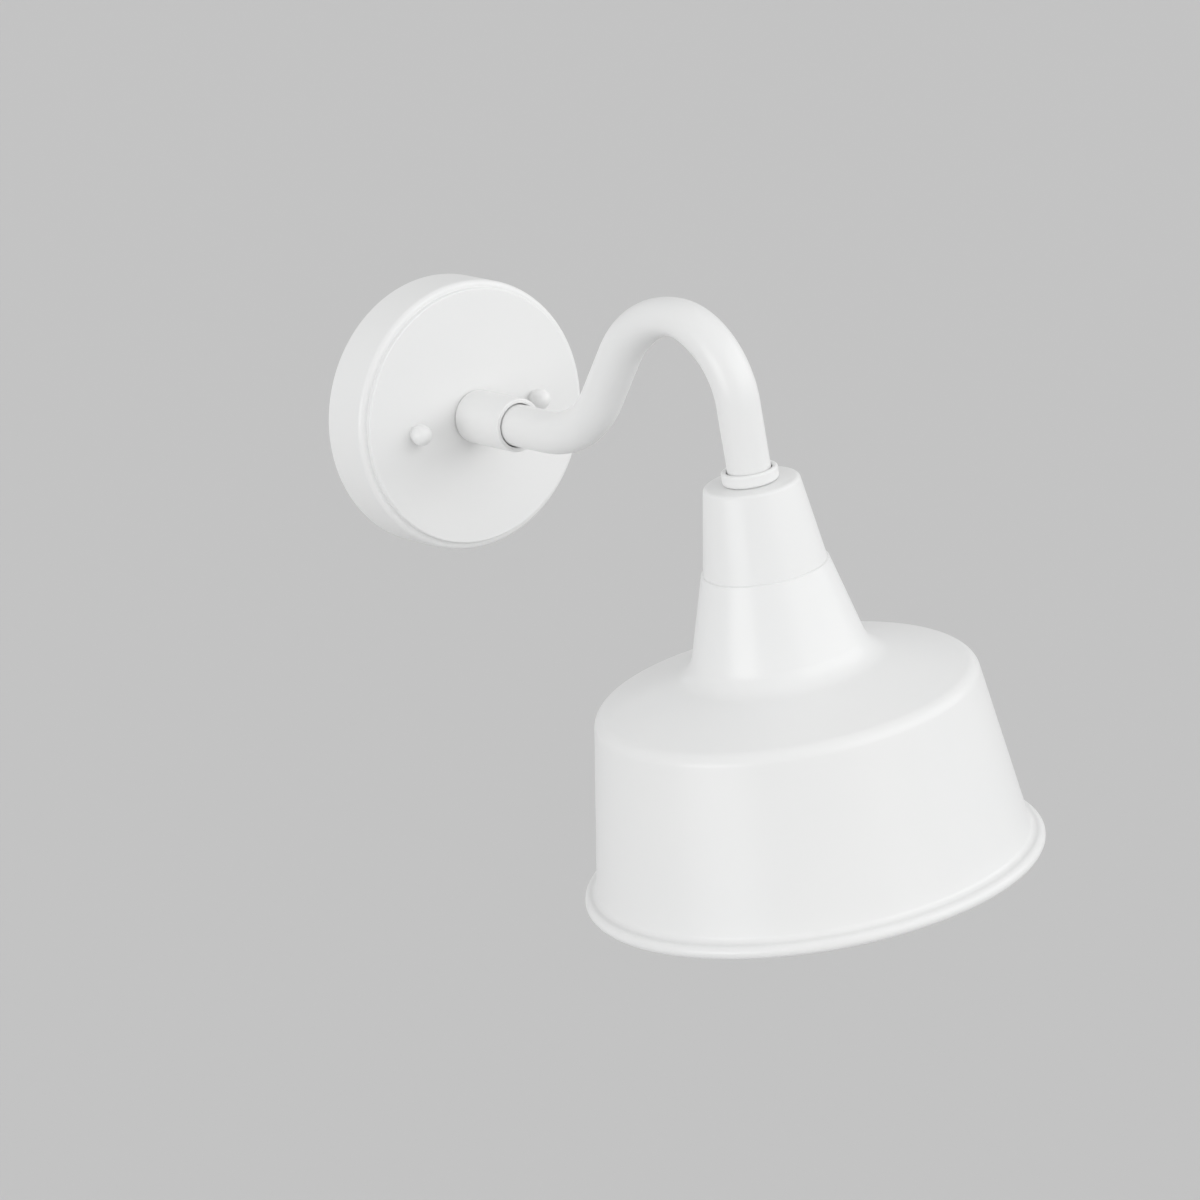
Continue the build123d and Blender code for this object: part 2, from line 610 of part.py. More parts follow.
def lamp_contact():
    """The solder tip on the lamp's base."""
    r = LAMP_CONTACT_D / 2
    base = -INSULATOR_DROP
    top = -LAMP_DROP
    points = [(0, base), (r, base), (r, top), (0, top)]
    return NECK * turned(outline(points, [0, 0, min(LAMP_CONTACT_R, LAMP_CONTACT_LENGTH * HEAD_ROUND), 0]))


def lamp_insulator():
    """The dark cone between the tip and the screw cap."""
    base = -LAMP_CAP_DROP
    top = -INSULATOR_DROP
    points = [(0, base), (LAMP_INSULATOR_BASE_D / 2, base), (LAMP_INSULATOR_TOP_D / 2, top), (0, top)]
    return NECK * turned(outline(points, 0))


def lamp_cap():
    """The thin screw cap, smooth at its thread's full diameter, turned in under the insulator."""
    r = LAMP_CAP_D / 2
    seat_r = LAMP_INSULATOR_BASE_D / 2 - LAMP_INSULATOR_SEAT
    points = [(seat_r, -LAMP_CAP_DROP), (r, -LAMP_CAP_DROP), (r, -LAMP_BODY_DROP)]
    return NECK * turned(sheet(points, [LAMP_CAP_EDGE_R], LAMP_CAP_SHEET))


# The lamp's dome is a ball, cut off where the body starts
DOME_R = LAMP_D / 2
DOME_JOINT_RISE = DOME_R * sin(radians(LAMP_JOINT_ANGLE))
DOME_JOINT_R = DOME_R * cos(radians(LAMP_JOINT_ANGLE))
DOME_BORE_R = ((DOME_R - LAMP_DOME_SHEET) ** 2 - DOME_JOINT_RISE**2) ** 0.5
LAMP_JOINT_DROP = LAMP_BODY_DROP + LAMP_NECK_RUN + LAMP_FLARE_RUN
DOME_CENTRE_DROP = LAMP_JOINT_DROP + DOME_JOINT_RISE


def lamp_body():
    """The lamp's housing: a core in the cap, a flaring neck and a spigot inside the dome's rim."""
    neck_r = LAMP_NECK_D / 2
    core_r = LAMP_CAP_D / 2 - LAMP_CAP_EDGE_R - HOLE_GAP
    core_top = -LAMP_CAP_DROP - LAMP_CAP_SHEET
    spigot_r = DOME_BORE_R - HOLE_GAP
    joint = -LAMP_JOINT_DROP
    points = [
        (0, core_top),
        (core_r, core_top),
        (core_r, -LAMP_BODY_DROP),
        (neck_r, -LAMP_BODY_DROP),
        (neck_r + LAMP_NECK_FLARE, -LAMP_BODY_DROP - LAMP_NECK_RUN),
        (DOME_JOINT_R, joint),
        (spigot_r, joint),
        (spigot_r, joint - LAMP_SPIGOT),
        (0, joint - LAMP_SPIGOT),
    ]
    return NECK * turned(outline(points, [0, 0, 0, 0, LAMP_NECK_R, 0, 0, 0, 0]))


def lamp_diffuser():
    """The hollow dome over the light source."""
    ball = Sphere(DOME_R) - Sphere(DOME_R - LAMP_DOME_SHEET)
    below = Pos(0, 0, DOME_JOINT_RISE) * Cylinder(LAMP_D, LAMP_D, align=ROOF)
    return NECK * Pos(0, 0, -DOME_CENTRE_DROP) * (ball & below)


PARTS = {
    "backplate": backplate(),
    "mounting_strap": mounting_strap(),
    "mounting_studs": mounting_studs(),
    "stud_nuts": stud_nuts(),
    "cap_nut_left": cap_nut(STUD_LEFT),
    "cap_nut_right": cap_nut(STUD_RIGHT),
    "ground_screw": ground_screw(),
    "arm_collar": arm_collar(),
    "arm_tube": arm_tube(),
    "arm_end_bushes": arm_end_bushes(),
    "wall_nipple": wall_nipple(),
    "wall_lock_washer": wall_lock_washer(),
    "wall_lock_nut": wall_lock_nut(),
    "line_wire": lead(1),
    "neutral_wire": lead(-1),
    "lead_ends": lead_ends(),
    "shade_ring": shade_ring(),
    "shade_nipple": shade_nipple(),
    "shade_lock_washer": shade_lock_washer(),
    "shade_lock_nuts": shade_lock_nuts(),
    "neck_cap": neck_cap(),
    "shade": shade(),
    "socket_bracket": socket_bracket(),
    "socket_screws": socket_screws(),
    "socket_body": socket_body(),
    "socket_shell": socket_shell(),
    "socket_contact": socket_contact(),
    "terminal_plates": terminal_plates(),
    "terminal_screws": terminal_screws(),
    "lamp_contact": lamp_contact(),
    "lamp_insulator": lamp_insulator(),
    "lamp_cap": lamp_cap(),
    "lamp_body": lamp_body(),
    "lamp_diffuser": lamp_diffuser(),
}

os.makedirs("parts", exist_ok=True)
for name, piece in PARTS.items():
    export_step(piece, f"parts/{name}.step")
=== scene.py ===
import bmesh
import bpy
import numpy as np
from mathutils import Matrix, Vector


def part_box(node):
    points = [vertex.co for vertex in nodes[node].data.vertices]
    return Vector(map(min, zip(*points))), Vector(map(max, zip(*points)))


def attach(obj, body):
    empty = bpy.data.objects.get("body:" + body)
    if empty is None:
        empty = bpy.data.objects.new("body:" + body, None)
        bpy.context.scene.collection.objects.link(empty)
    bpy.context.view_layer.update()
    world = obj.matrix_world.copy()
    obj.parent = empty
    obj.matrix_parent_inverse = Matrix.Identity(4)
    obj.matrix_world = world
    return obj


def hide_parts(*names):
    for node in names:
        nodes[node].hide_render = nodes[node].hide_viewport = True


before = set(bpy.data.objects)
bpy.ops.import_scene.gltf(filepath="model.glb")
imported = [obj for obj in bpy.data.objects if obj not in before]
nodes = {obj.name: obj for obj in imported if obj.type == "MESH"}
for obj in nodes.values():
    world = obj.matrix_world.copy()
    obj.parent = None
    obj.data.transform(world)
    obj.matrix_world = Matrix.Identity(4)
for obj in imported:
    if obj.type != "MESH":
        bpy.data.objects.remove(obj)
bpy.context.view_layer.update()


# Wall strap
# A flat bar of zinc-plated steel, punched with two slots for the wall box's screws and with
# round holes for the studs, the leads and the earth screw. It is screwed flat to the wall.
ZINC_DULL = (0.42, 0.43, 0.44, 1)
ZINC_BRIGHT = (0.63, 0.63, 0.61, 1)
ZINC_SPANGLES = 240  # cells a metre
ZINC_SCRATCHES = (40, 900, 900)  # cells a metre along X, Y and Z
NOISE_LOW = 0.35  # a drift runs over this middle part of its noise
NOISE_HIGH = 0.65


def new_finish(name, roughness, metallic=0.0):
    """A finish of one shader. What is the same all over is set on the shader's own sockets."""
    finish = bpy.data.materials.new(name)
    finish.use_nodes = True
    shader = finish.node_tree.nodes["Principled BSDF"]
    shader.inputs["Roughness"].default_value = roughness
    shader.inputs["Metallic"].default_value = metallic
    return finish


def speckle(finish, cells, detail=3.0):
    """A soft noise on Object coordinates, with that many cells a metre along X, Y and Z."""
    tree = finish.node_tree
    place = tree.nodes.new("ShaderNodeTexCoord")
    spread = tree.nodes.new("ShaderNodeMapping")
    noise = tree.nodes.new("ShaderNodeTexNoise")
    spread.inputs["Scale"].default_value = cells if isinstance(cells, tuple) else (cells,) * 3
    noise.inputs["Scale"].default_value = 1
    noise.inputs["Detail"].default_value = detail
    tree.links.new(place.outputs["Object"], spread.inputs["Vector"])
    tree.links.new(spread.outputs["Vector"], noise.inputs["Vector"])
    return noise


def tint(finish, low, high, cells):
    """The colour drifts from low to high with a soft noise."""
    tree = finish.node_tree
    ramp = tree.nodes.new("ShaderNodeValToRGB")
    for stop, place, colour in zip(ramp.color_ramp.elements, (NOISE_LOW, NOISE_HIGH), (low, high)):
        stop.position = place
        stop.color = colour
    tree.links.new(speckle(finish, cells).outputs["Fac"], ramp.inputs["Fac"])
    tree.links.new(ramp.outputs["Color"], tree.nodes["Principled BSDF"].inputs["Base Color"])


def polish(finish, low, high, cells):
    """The roughness drifts from low to high with a soft noise."""
    tree = finish.node_tree
    span = tree.nodes.new("ShaderNodeMapRange")
    span.inputs["From Min"].default_value = NOISE_LOW
    span.inputs["From Max"].default_value = NOISE_HIGH
    span.inputs["To Min"].default_value = low
    span.inputs["To Max"].default_value = high
    tree.links.new(speckle(finish, cells).outputs["Fac"], span.inputs["Value"])
    tree.links.new(span.outputs["Result"], tree.nodes["Principled BSDF"].inputs["Roughness"])


def ripple(finish, height, cells):
    """A fine unevenness of that height in metres, raised by a soft noise."""
    tree = finish.node_tree
    bump = tree.nodes.new("ShaderNodeBump")
    bump.inputs["Distance"].default_value = height
    tree.links.new(speckle(finish, cells, detail=1.0).outputs["Fac"], bump.inputs["Height"])
    tree.links.new(bump.outputs["Normal"], tree.nodes["Principled BSDF"].inputs["Normal"])


def dress(node, finish):
    """A CAD node that shows as it is gets its finish."""
    nodes[node].data.materials.clear()
    nodes[node].data.materials.append(finish)


zinc = new_finish("zinc_plate", roughness=0.35, metallic=1.0)
tint(zinc, ZINC_DULL, ZINC_BRIGHT, cells=ZINC_SPANGLES)
polish(zinc, low=0.26, high=0.44, cells=ZINC_SCRATCHES)
ripple(zinc, height=0.00002, cells=ZINC_SPANGLES * 2)
dress("mounting_strap", zinc)


# Studs
# Two zinc-plated threaded rods, screwed into the strap in a row that is turned a little from level.
# They reach out through the backplate's face and end inside the ball nuts.
stud_low, stud_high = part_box("mounting_studs")
STUD_R = 0.002
STUD_X = stud_high.x - STUD_R
STUD_LIFT = stud_high.z - STUD_R
stud_places = {"left": (-STUD_X, STUD_LIFT), "right": (STUD_X, -STUD_LIFT)}
STUD_LENGTH = -stud_low.y
STUD_PITCH = 0.0007
STUD_THREAD_DEPTH = 0.00038
STUD_CHAMFER = 0.0005
ROWS_PER_TURN = 8
CREASE = np.radians(32)
MERGE_DISTANCE = 1e-7


def out_of_wall(points):
    """Local X across the wall, Y up it and Z out of it become places in the frame."""
    across, up, out = np.moveaxis(points, -1, 0)
    return np.stack([across, -out, up], axis=-1)


def add_piece(name, points, closed):
    """A surface from a grid of points: each point joins the next in its row, round to the first
    one, and the same point of the next row, round to the first row too where it is closed."""
    rows, columns = points.shape[:2]
    row = np.arange(rows if closed else rows - 1)[:, None]
    column = np.arange(columns)[None, :]
    next_row = (row + 1) % rows
    next_column = (column + 1) % columns
    corners = [(row, column), (row, next_column), (next_row, next_column), (next_row, column)]
    quads = np.stack([r * columns + c for r, c in corners], axis=-1).reshape(-1, 4)
    mesh = bpy.data.meshes.new(name)
    mesh.from_pydata(points.reshape(-1, 3).tolist(), [], quads.tolist())
    work = bmesh.new()
    work.from_mesh(mesh)
    bmesh.ops.remove_doubles(work, verts=work.verts, dist=MERGE_DISTANCE)
    bmesh.ops.recalc_face_normals(work, faces=work.faces)
    work.to_mesh(mesh)
    work.free()
    mesh.shade_smooth()
    mesh.set_sharp_from_angle(angle=CREASE)
    piece = bpy.data.objects.new(name, mesh)
    bpy.context.scene.collection.objects.link(piece)
    return piece


def spun(radius, height, angle):
    """Points at a radius and a height round the Z axis, one column for each angle."""
    return np.stack([radius * np.cos(angle), radius * np.sin(angle), height + 0 * angle], axis=-1)


def threaded_rod(name, place, at, radius, length, pitch, depth, bore=0.0, chamfer=0.0, sides=36):
    """A rod with a V thread: at each height and angle the radius is less by a depth that goes
    evenly from 0 to its most and back once a pitch, and starts later as the angle grows. The ends
    are cut back to a chamfer, and a bore runs through where there is one."""
    rows = int(length / pitch * ROWS_PER_TURN)
    height = np.linspace(0, length, rows)[:, None]
    angle = np.linspace(0, 2 * np.pi, sides, endpoint=False)[None, :]
    turn = (height / pitch - angle / (2 * np.pi)) % 1
    cut = radius - depth * (1 - abs(2 * turn - 1))
    from_end = np.minimum(height, length - height)
    r = np.minimum(cut, radius - chamfer + from_end)
    ends = np.full((1, sides), bore)
    r = np.concatenate([ends, r, ends])
    height = np.concatenate([[[0]], height, [[length]]])
    return add_piece(name, place(spun(r, height, angle) + at), closed=bore > 0)


def fit(piece, finish, body, slot, *stands_for):
    """A finished piece rides on a body and stands for CAD nodes."""
    piece.data.materials.append(finish)
    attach(piece, body)
    if stands_for:
        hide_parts(*stands_for)


for side, (x, z) in stud_places.items():
    stud = threaded_rod(
        f"threaded_stud_{side}",
        out_of_wall,
        (x, z, 0),
        STUD_R,
        STUD_LENGTH,
        STUD_PITCH,
        STUD_THREAD_DEPTH,
        chamfer=STUD_CHAMFER,
    )
    fit(stud, zinc, "light", "zinc_steel", "mounting_studs")


# Stud nuts
# Two zinc-plated hexagon nuts that lock the studs against the strap.
STRAP_SHEET = -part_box("mounting_strap")[0].y
STUD_NUT_FLATS = 0.0087
STUD_NUT_THICK = 0.0032
NUT_BEVEL = np.radians(30)
NUT_FACE_SHARE = 0.96  # the round end face, as a share of the width over the flats


def hexagon_nut(name, place, at, flats, thick, bore, sides=96):
    """A nut: its side is half the width over the flats divided by the cosine of the angle from
    the nearest flat's middle, and a cone at both ends cuts the corners back to a round face."""
    angle = np.linspace(0, 2 * np.pi, sides, endpoint=False)[None, :]
    sixth = np.pi / 3
    from_flat = (angle + sixth / 2) % sixth - sixth / 2
    corner = flats / 2 / np.cos(from_flat)
    face = np.full_like(angle, flats / 2 * NUT_FACE_SHARE)
    hole = np.full_like(angle, bore)
    fall = (corner - face) * np.tan(NUT_BEVEL)
    r = np.concatenate([hole, face, corner, corner, face, hole])
    level = 0 * angle
    height = np.concatenate([level, level, fall, thick - fall, thick + level, thick + level])
    points = np.stack([r * np.cos(angle), r * np.sin(angle), height], axis=-1)
    return add_piece(name, place(points + at), closed=True)


for side, (x, z) in stud_places.items():
    nut = hexagon_nut(
        f"strap_nut_{side}", out_of_wall, (x, z, STRAP_SHEET), STUD_NUT_FLATS, STUD_NUT_THICK, STUD_R
    )
    fit(nut, zinc, "light", "zinc_steel", "stud_nuts")


# Earth screw
# A green-coated pan-head screw with a straight slot, in a tapped hole of the strap.
EARTH_LIGHT = (0.075, 0.33, 0.13, 1)
EARTH_DARK = (0.045, 0.24, 0.085, 1)
EARTH_SCREW_R = 0.002
earth_low, earth_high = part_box("ground_screw")
EARTH_HEAD_R = (earth_high.z - earth_low.z) / 2
EARTH_X = (earth_low.x + earth_high.x) / 2
EARTH_HEAD = -earth_low.y - STRAP_SHEET
SLOT_ROOM = 1.05  # rows of a head keep off its slot's edge by this share


def slotted_head(name, place, at, radius, height, slot=0.22, deep=0.55, crown=0.35):
    """A pan head with a straight slot. Each row lies across the slot's direction at a distance y
    and runs from rim to rim, half as long as the root of radius squared less y squared. The top
    falls with the square of the distance from the middle by a share of the height, and the rows
    of the slot, a share of the radius to each side, lie lower by another share. The first and
    last columns are the rim's foot."""
    half = slot * radius
    outer = -radius * np.cos(np.linspace(0, np.pi / 2, num=13))
    outer = outer[outer < -half * SLOT_ROOM]
    y = np.concatenate([outer, [-half, -half, half, half], -outer[::-1]])
    sunk = np.zeros(len(y))
    sunk[len(outer) + 1 : len(outer) + 3] = deep * height
    along = np.sin(np.linspace(-np.pi / 2, np.pi / 2, num=25))
    x = along[None, :] * np.sqrt(np.maximum(radius**2 - y**2, 0))[:, None]
    y = y[:, None] + 0 * x
    top = height * (1 - crown * (x**2 + y**2) / radius**2) - sunk[:, None]
    points = np.stack([x, y, top], axis=-1)
    foot = points[:, [0, -1]] * (1, 1, 0)
    points = np.concatenate([foot[:, :1], points, foot[:, 1:]], axis=1)
    return add_piece(name, place(points + at), closed=False)


def shank(name, place, at, radius, length, sides=32):
    """A plain round pin that ends at its place, with both ends closed."""
    angle = np.linspace(0, 2 * np.pi, sides, endpoint=False)[None, :]
    r = np.array([0, radius, radius, 0])[:, None]
    height = np.array([-length, -length, 0, 0])[:, None]
    return add_piece(name, place(spun(r, height, angle) + at), closed=False)


earth_green = new_finish("green_coat", roughness=0.4)
tint(earth_green, EARTH_DARK, EARTH_LIGHT, cells=700)
polish(earth_green, low=0.32, high=0.5, cells=900)
earth_place = (EARTH_X, 0, STRAP_SHEET)
earth_head = slotted_head("earth_screw_head", out_of_wall, earth_place, EARTH_HEAD_R, EARTH_HEAD)
earth_shank = shank("earth_screw_shank", out_of_wall, earth_place, EARTH_SCREW_R, STRAP_SHEET)
fit(earth_head, earth_green, "light", "ground_green", "ground_screw")
fit(earth_shank, earth_green, "light", "ground_green")


# Backplate
# A spun steel pan under white powder coat, open at the wall: a straight side, a narrow ledge round
# the rim and a raised flat face. The nipple, its nut and the ball nuts hold it.
plate_low, plate_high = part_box("backplate")
PLATE_R = plate_high.x
PLATE_DEPTH = -plate_low.y
PLATE_SHEET = 0.0012
PLATE_STEP = 0.0023
PLATE_LEDGE_WIDTH = 0.0034
PLATE_EDGE_R = 0.0027
PLATE_STEP_R = 0.0005
PLATE_FACE_R = 0.0008
NIPPLE_HOLE_R = 0.005
WHITE_COOL = (0.810, 0.815, 0.814, 1)
WHITE_WARM = (0.824, 0.826, 0.822, 1)
PEEL_CELLS = 420
PEEL_HEIGHT = 0.000004


def rounded(corners, radii, step=np.radians(6)):
    """A line of straight runs whose corners are arcs: an arc touches both of its runs at the
    radius times the tangent of half the turn from their corner. A radius of 0 leaves it sharp."""
    corners = np.array(corners, float)
    line = [corners[:1]]
    for before, corner, after, radius in zip(corners, corners[1:], corners[2:], radii):
        run_in = (corner - before) / np.linalg.norm(corner - before)
        run_out = (after - corner) / np.linalg.norm(after - corner)
        turn = np.arctan2(run_in[0] * run_out[1] - run_in[1] * run_out[0], run_in @ run_out)
        start = corner - run_in * radius * np.tan(abs(turn) / 2)
        line.append(arc(start, run_in, radius, turn, step) if radius > 0 else corner[None])
    return np.concatenate([*line, corners[-1:]])


def arc(start, heading, radius, turn, step=np.radians(6)):
    """The points of an arc that leaves a point along a heading, and turns left, or right below 0."""
    side = np.sign(turn) * np.array([-heading[1], heading[0]])
    share = np.linspace(0, abs(turn), max(3, int(abs(turn) / step) + 2))[:, None]
    return start + radius * (np.sin(share) * heading + (1 - np.cos(share)) * side)


def beside(corners, radii, gap):
    """The corners and radii of a line that lies to the right of another by a gap, or to its left
    below 0: a corner moves along its bisector, and an arc that turns left grows by the gap."""
    corners = np.array(corners, float)
    runs = np.diff(corners, axis=0)
    runs /= np.linalg.norm(runs, axis=1)[:, None]
    right = np.stack([runs[:, 1], -runs[:, 0]], axis=1)
    shift = right[:-1] + right[1:]
    shift /= (1 + (right[:-1] * right[1:]).sum(axis=1))[:, None]
    moved = corners + gap * np.concatenate([right[:1], shift, right[-1:]])
    left_turn = np.sign(right[:-1, 0] * right[1:, 1] - right[:-1, 1] * right[1:, 0])
    return moved, np.maximum(np.array(radii) + gap * left_turn, 0)


def sheet_section(corners, radii, thick):
    """A section of sheet metal: a line, and back along the line that lies beside it."""
    return np.concatenate([rounded(corners, radii), rounded(*beside(corners, radii, thick))[::-1]])


def turned(name, place, at, section, sides):
    """A piece turned on a lathe: each point of the section, a radius and a height, goes round the
    axis. A section that starts on the axis ends on it, and any other closes on itself."""
    angle = np.linspace(0, 2 * np.pi, sides, endpoint=False)[None, :]
    points = spun(section[:, :1], section[:, 1:], angle)
    return add_piece(name, place(points + at), closed=section[0, 0] > 0)


white = new_finish("white_powder_coat", roughness=0.3)
tint(white, WHITE_COOL, WHITE_WARM, cells=9)
polish(white, low=0.28, high=0.32, cells=60)
ripple(white, height=PEEL_HEIGHT, cells=PEEL_CELLS)

face_r = PLATE_R - PLATE_LEDGE_WIDTH
ledge = PLATE_DEPTH - PLATE_STEP
plate_line = [
    (PLATE_R, 0),
    (PLATE_R, ledge),
    (face_r, ledge),
    (face_r, PLATE_DEPTH),
    (NIPPLE_HOLE_R, PLATE_DEPTH),
]
plate_section = sheet_section(plate_line, [PLATE_EDGE_R, PLATE_STEP_R, PLATE_FACE_R], -PLATE_SHEET)
plate = turned("backplate_pan", out_of_wall, (0, 0, 0), plate_section, sides=288)
fit(plate, white, "light", "white_paint", "backplate")


# Ball nuts
# Two white-coated blind nuts, each a ball on a short neck, screwed on the studs against the
# backplate's face.
BALL_R = 0.00475
BALL_NUT_NECK_R = 0.0036
BALL_NUT_LENGTH = 0.009
BALL_NUT_BORE_R = 0.00215
BALL_NUT_BORE = 0.007
ball_height = BALL_NUT_LENGTH - BALL_R
neck_angle = np.arccos(BALL_NUT_NECK_R / BALL_R)
ball_angle = np.linspace(-neck_angle, np.pi / 2, num=40)
ball_line = np.stack([BALL_R * np.cos(ball_angle), ball_height + BALL_R * np.sin(ball_angle)], axis=1)
ball_line[-1, 0] = 0
nut_bore = [
    (0, BALL_NUT_BORE),
    (BALL_NUT_BORE_R, BALL_NUT_BORE),
    (BALL_NUT_BORE_R, 0),
    (BALL_NUT_NECK_R, 0),
]
for side, (x, z) in stud_places.items():
    ball_nut = turned(
        f"ball_nut_{side}",
        out_of_wall,
        (x, z, PLATE_DEPTH),
        np.concatenate([nut_bore, ball_line]),
        sides=72,
    )
    fit(ball_nut, white, f"cap_nut_{side}", "white_paint", f"cap_nut_{side}")


# Wall nipple, washer and lock nut
# A hollow threaded rod of zinc-plated steel holds the arm, its collar and the backplate together,
# with a washer and a hexagon nut inside the pan.
wall_nipple_low, wall_nipple_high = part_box("wall_nipple")
NIPPLE_R = (wall_nipple_high.x - wall_nipple_low.x) / 2
NIPPLE_BORE_R = 0.0035
NIPPLE_PITCH = 0.00094
NIPPLE_THREAD_DEPTH = 0.00045
NIPPLE_CHAMFER = 0.0004
wall_nipple = threaded_rod(
    "wall_nipple_thread",
    out_of_wall,
    (0, 0, -wall_nipple_high.y),
    NIPPLE_R,
    wall_nipple_high.y - wall_nipple_low.y,
    NIPPLE_PITCH,
    NIPPLE_THREAD_DEPTH,
    bore=NIPPLE_BORE_R,
    chamfer=NIPPLE_CHAMFER,
    sides=56,
)
fit(wall_nipple, zinc, "light", "zinc_steel", "wall_nipple")

wall_nut_low, wall_nut_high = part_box("wall_lock_nut")
LOCK_NUT_FLATS = wall_nut_high.x - wall_nut_low.x
LOCK_NUT_THICK = wall_nut_high.y - wall_nut_low.y
wall_nut = hexagon_nut(
    "wall_lock_nut_hexagon",
    out_of_wall,
    (0, 0, -wall_nut_high.y),
    LOCK_NUT_FLATS,
    LOCK_NUT_THICK,
    NIPPLE_R,
)
fit(wall_nut, zinc, "light", "zinc_steel", "wall_lock_nut")
dress("wall_lock_washer", zinc)


# Collar
# A turned cup under white powder coat that stands on the backplate's face. The arm's end goes into
# it with a narrow gap all round.
ARM_R = 0.009525
ARM_SHEET = 0.00124
TUBE_GAP = 0.00045
ARM_BORE_R = ARM_R + TUBE_GAP
COLLAR_R = 0.0122
COLLAR_LENGTH = 0.0334
COLLAR_FLOOR = 0.003
COLLAR_BASE_R = 0.0018
COLLAR_LIP_R = 0.0007
collar_line = [
    (NIPPLE_HOLE_R, COLLAR_FLOOR),
    (NIPPLE_HOLE_R, 0),
    (COLLAR_R, 0),
    (COLLAR_R, COLLAR_LENGTH),
    (ARM_BORE_R, COLLAR_LENGTH),
    (ARM_BORE_R, COLLAR_FLOOR),
    (NIPPLE_HOLE_R, COLLAR_FLOOR),
]
collar_section = rounded(collar_line, [0, COLLAR_BASE_R, COLLAR_LIP_R, COLLAR_LIP_R, 0])[:-1]
collar = turned("arm_collar_cup", out_of_wall, (0, 0, PLATE_DEPTH), collar_section, sides=144)
fit(collar, white, "light", "white_paint", "arm_collar")


# Arm
# One steel tube under white powder coat, bent in three arcs: straight out of the collar, up through
# an S, over the crown, whose inside the bender pressed a little flat, and down into the ring.
neck_low, neck_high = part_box("neck_cap")
REACH = -(neck_low.y + neck_high.y) / 2
NECK_Z = neck_high.z
RING_FLOOR = 0.0018
ARM_STRAIGHT_OUT = 0.0213
ARM_BEND_R = 0.062
ARM_BEND = np.radians(49.8)
ARM_CROWN_BACK_R = 0.0616
ARM_CROWN_FRONT_R = 0.0339
ARM_SIDES = 96
ARM_STEP = np.radians(1.5)
ARM_PRESSED = 0.26
PRESS_FADE = 12


def swept_tube(name, line, radius, x=0.0, bore=0.0, sides=ARM_SIDES, pressed=0.0):
    """A tube along a line of distances from the wall and heights, x to the right of the middle.
    At each point of the line a ring lies square to it: the sine carries it along X, the cosine
    along the line's normal. A bore runs back along the line, and without one the ends close.
    The bender presses the lower half in by a share where the line lies level at the crown, which
    falls to none with the cosine of the line's slope to a high power."""
    ahead = np.gradient(line, axis=0)
    ahead /= np.linalg.norm(ahead, axis=1)[:, None]
    normal = np.stack([-ahead[:, 1], ahead[:, 0]], axis=1)
    wall = np.full(len(line), radius)
    if bore > 0:
        order = np.concatenate([np.arange(len(line)), np.arange(len(line))[::-1]])
        wall = np.concatenate([wall, np.full(len(line), bore)])
    else:
        order = np.concatenate([[0], np.arange(len(line)), [len(line) - 1]])
        wall = np.concatenate([[0], wall, [0]])
    angle = np.linspace(0, 2 * np.pi, sides, endpoint=False)[None, :]
    across = wall[:, None] * np.sin(angle)
    lift = wall[:, None] * np.cos(angle)
    share = pressed * ahead[order, 0].clip(0, 1) ** PRESS_FADE * (line[order, 1] > ARM_R)
    lift = np.where(lift < 0, lift * (1 - share[:, None]), lift)
    centre = line[order][:, None]
    flat = centre + lift[..., None] * normal[order][:, None]
    points = np.stack([x + across, -flat[..., 0], flat[..., 1]], axis=-1)
    return add_piece(name, points, closed=bore > 0)


crown_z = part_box("arm_tube")[1].z - ARM_R
bend_corner = PLATE_DEPTH + COLLAR_LENGTH + ARM_STRAIGHT_OUT + ARM_BEND_R * np.tan(ARM_BEND / 2)
arm_corners = [(bend_corner, 0), (bend_corner + crown_z / np.tan(ARM_BEND), crown_z), (REACH, crown_z)]
arm_radii = [ARM_BEND_R, ARM_CROWN_BACK_R, ARM_CROWN_FRONT_R]
arm_ends = [(PLATE_DEPTH + COLLAR_FLOOR, 0), (REACH, NECK_Z + RING_FLOOR)]
arm_line = rounded([arm_ends[0], *arm_corners, arm_ends[1]], arm_radii, ARM_STEP)
arm = swept_tube("gooseneck_tube", arm_line, ARM_R, bore=ARM_R - ARM_SHEET, pressed=ARM_PRESSED)
fit(arm, white, "light", "white_paint", "arm_tube")
dress("arm_end_bushes", zinc)


# Leads
# A black and a white insulated wire run side by side down the middle of the arm, from inside the
# backplate to the two terminals on the socket. Their ends are stripped to the copper strands.
LEAD_R = 0.0013
LEAD_X = 0.00145
LEAD_START = 0.013
LEAD_STRIP = 0.010
LEAD_BEND_R = 0.0055
LEAD_CORE_R = 0.0006
LEAD_HOOK = 0.0075
LEAD_CORE_START = 0.008
STRANDS = 7
STRAND_TWIST = 0.014  # length of one turn
LEAD_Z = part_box("line_wire")[0].z + LEAD_R


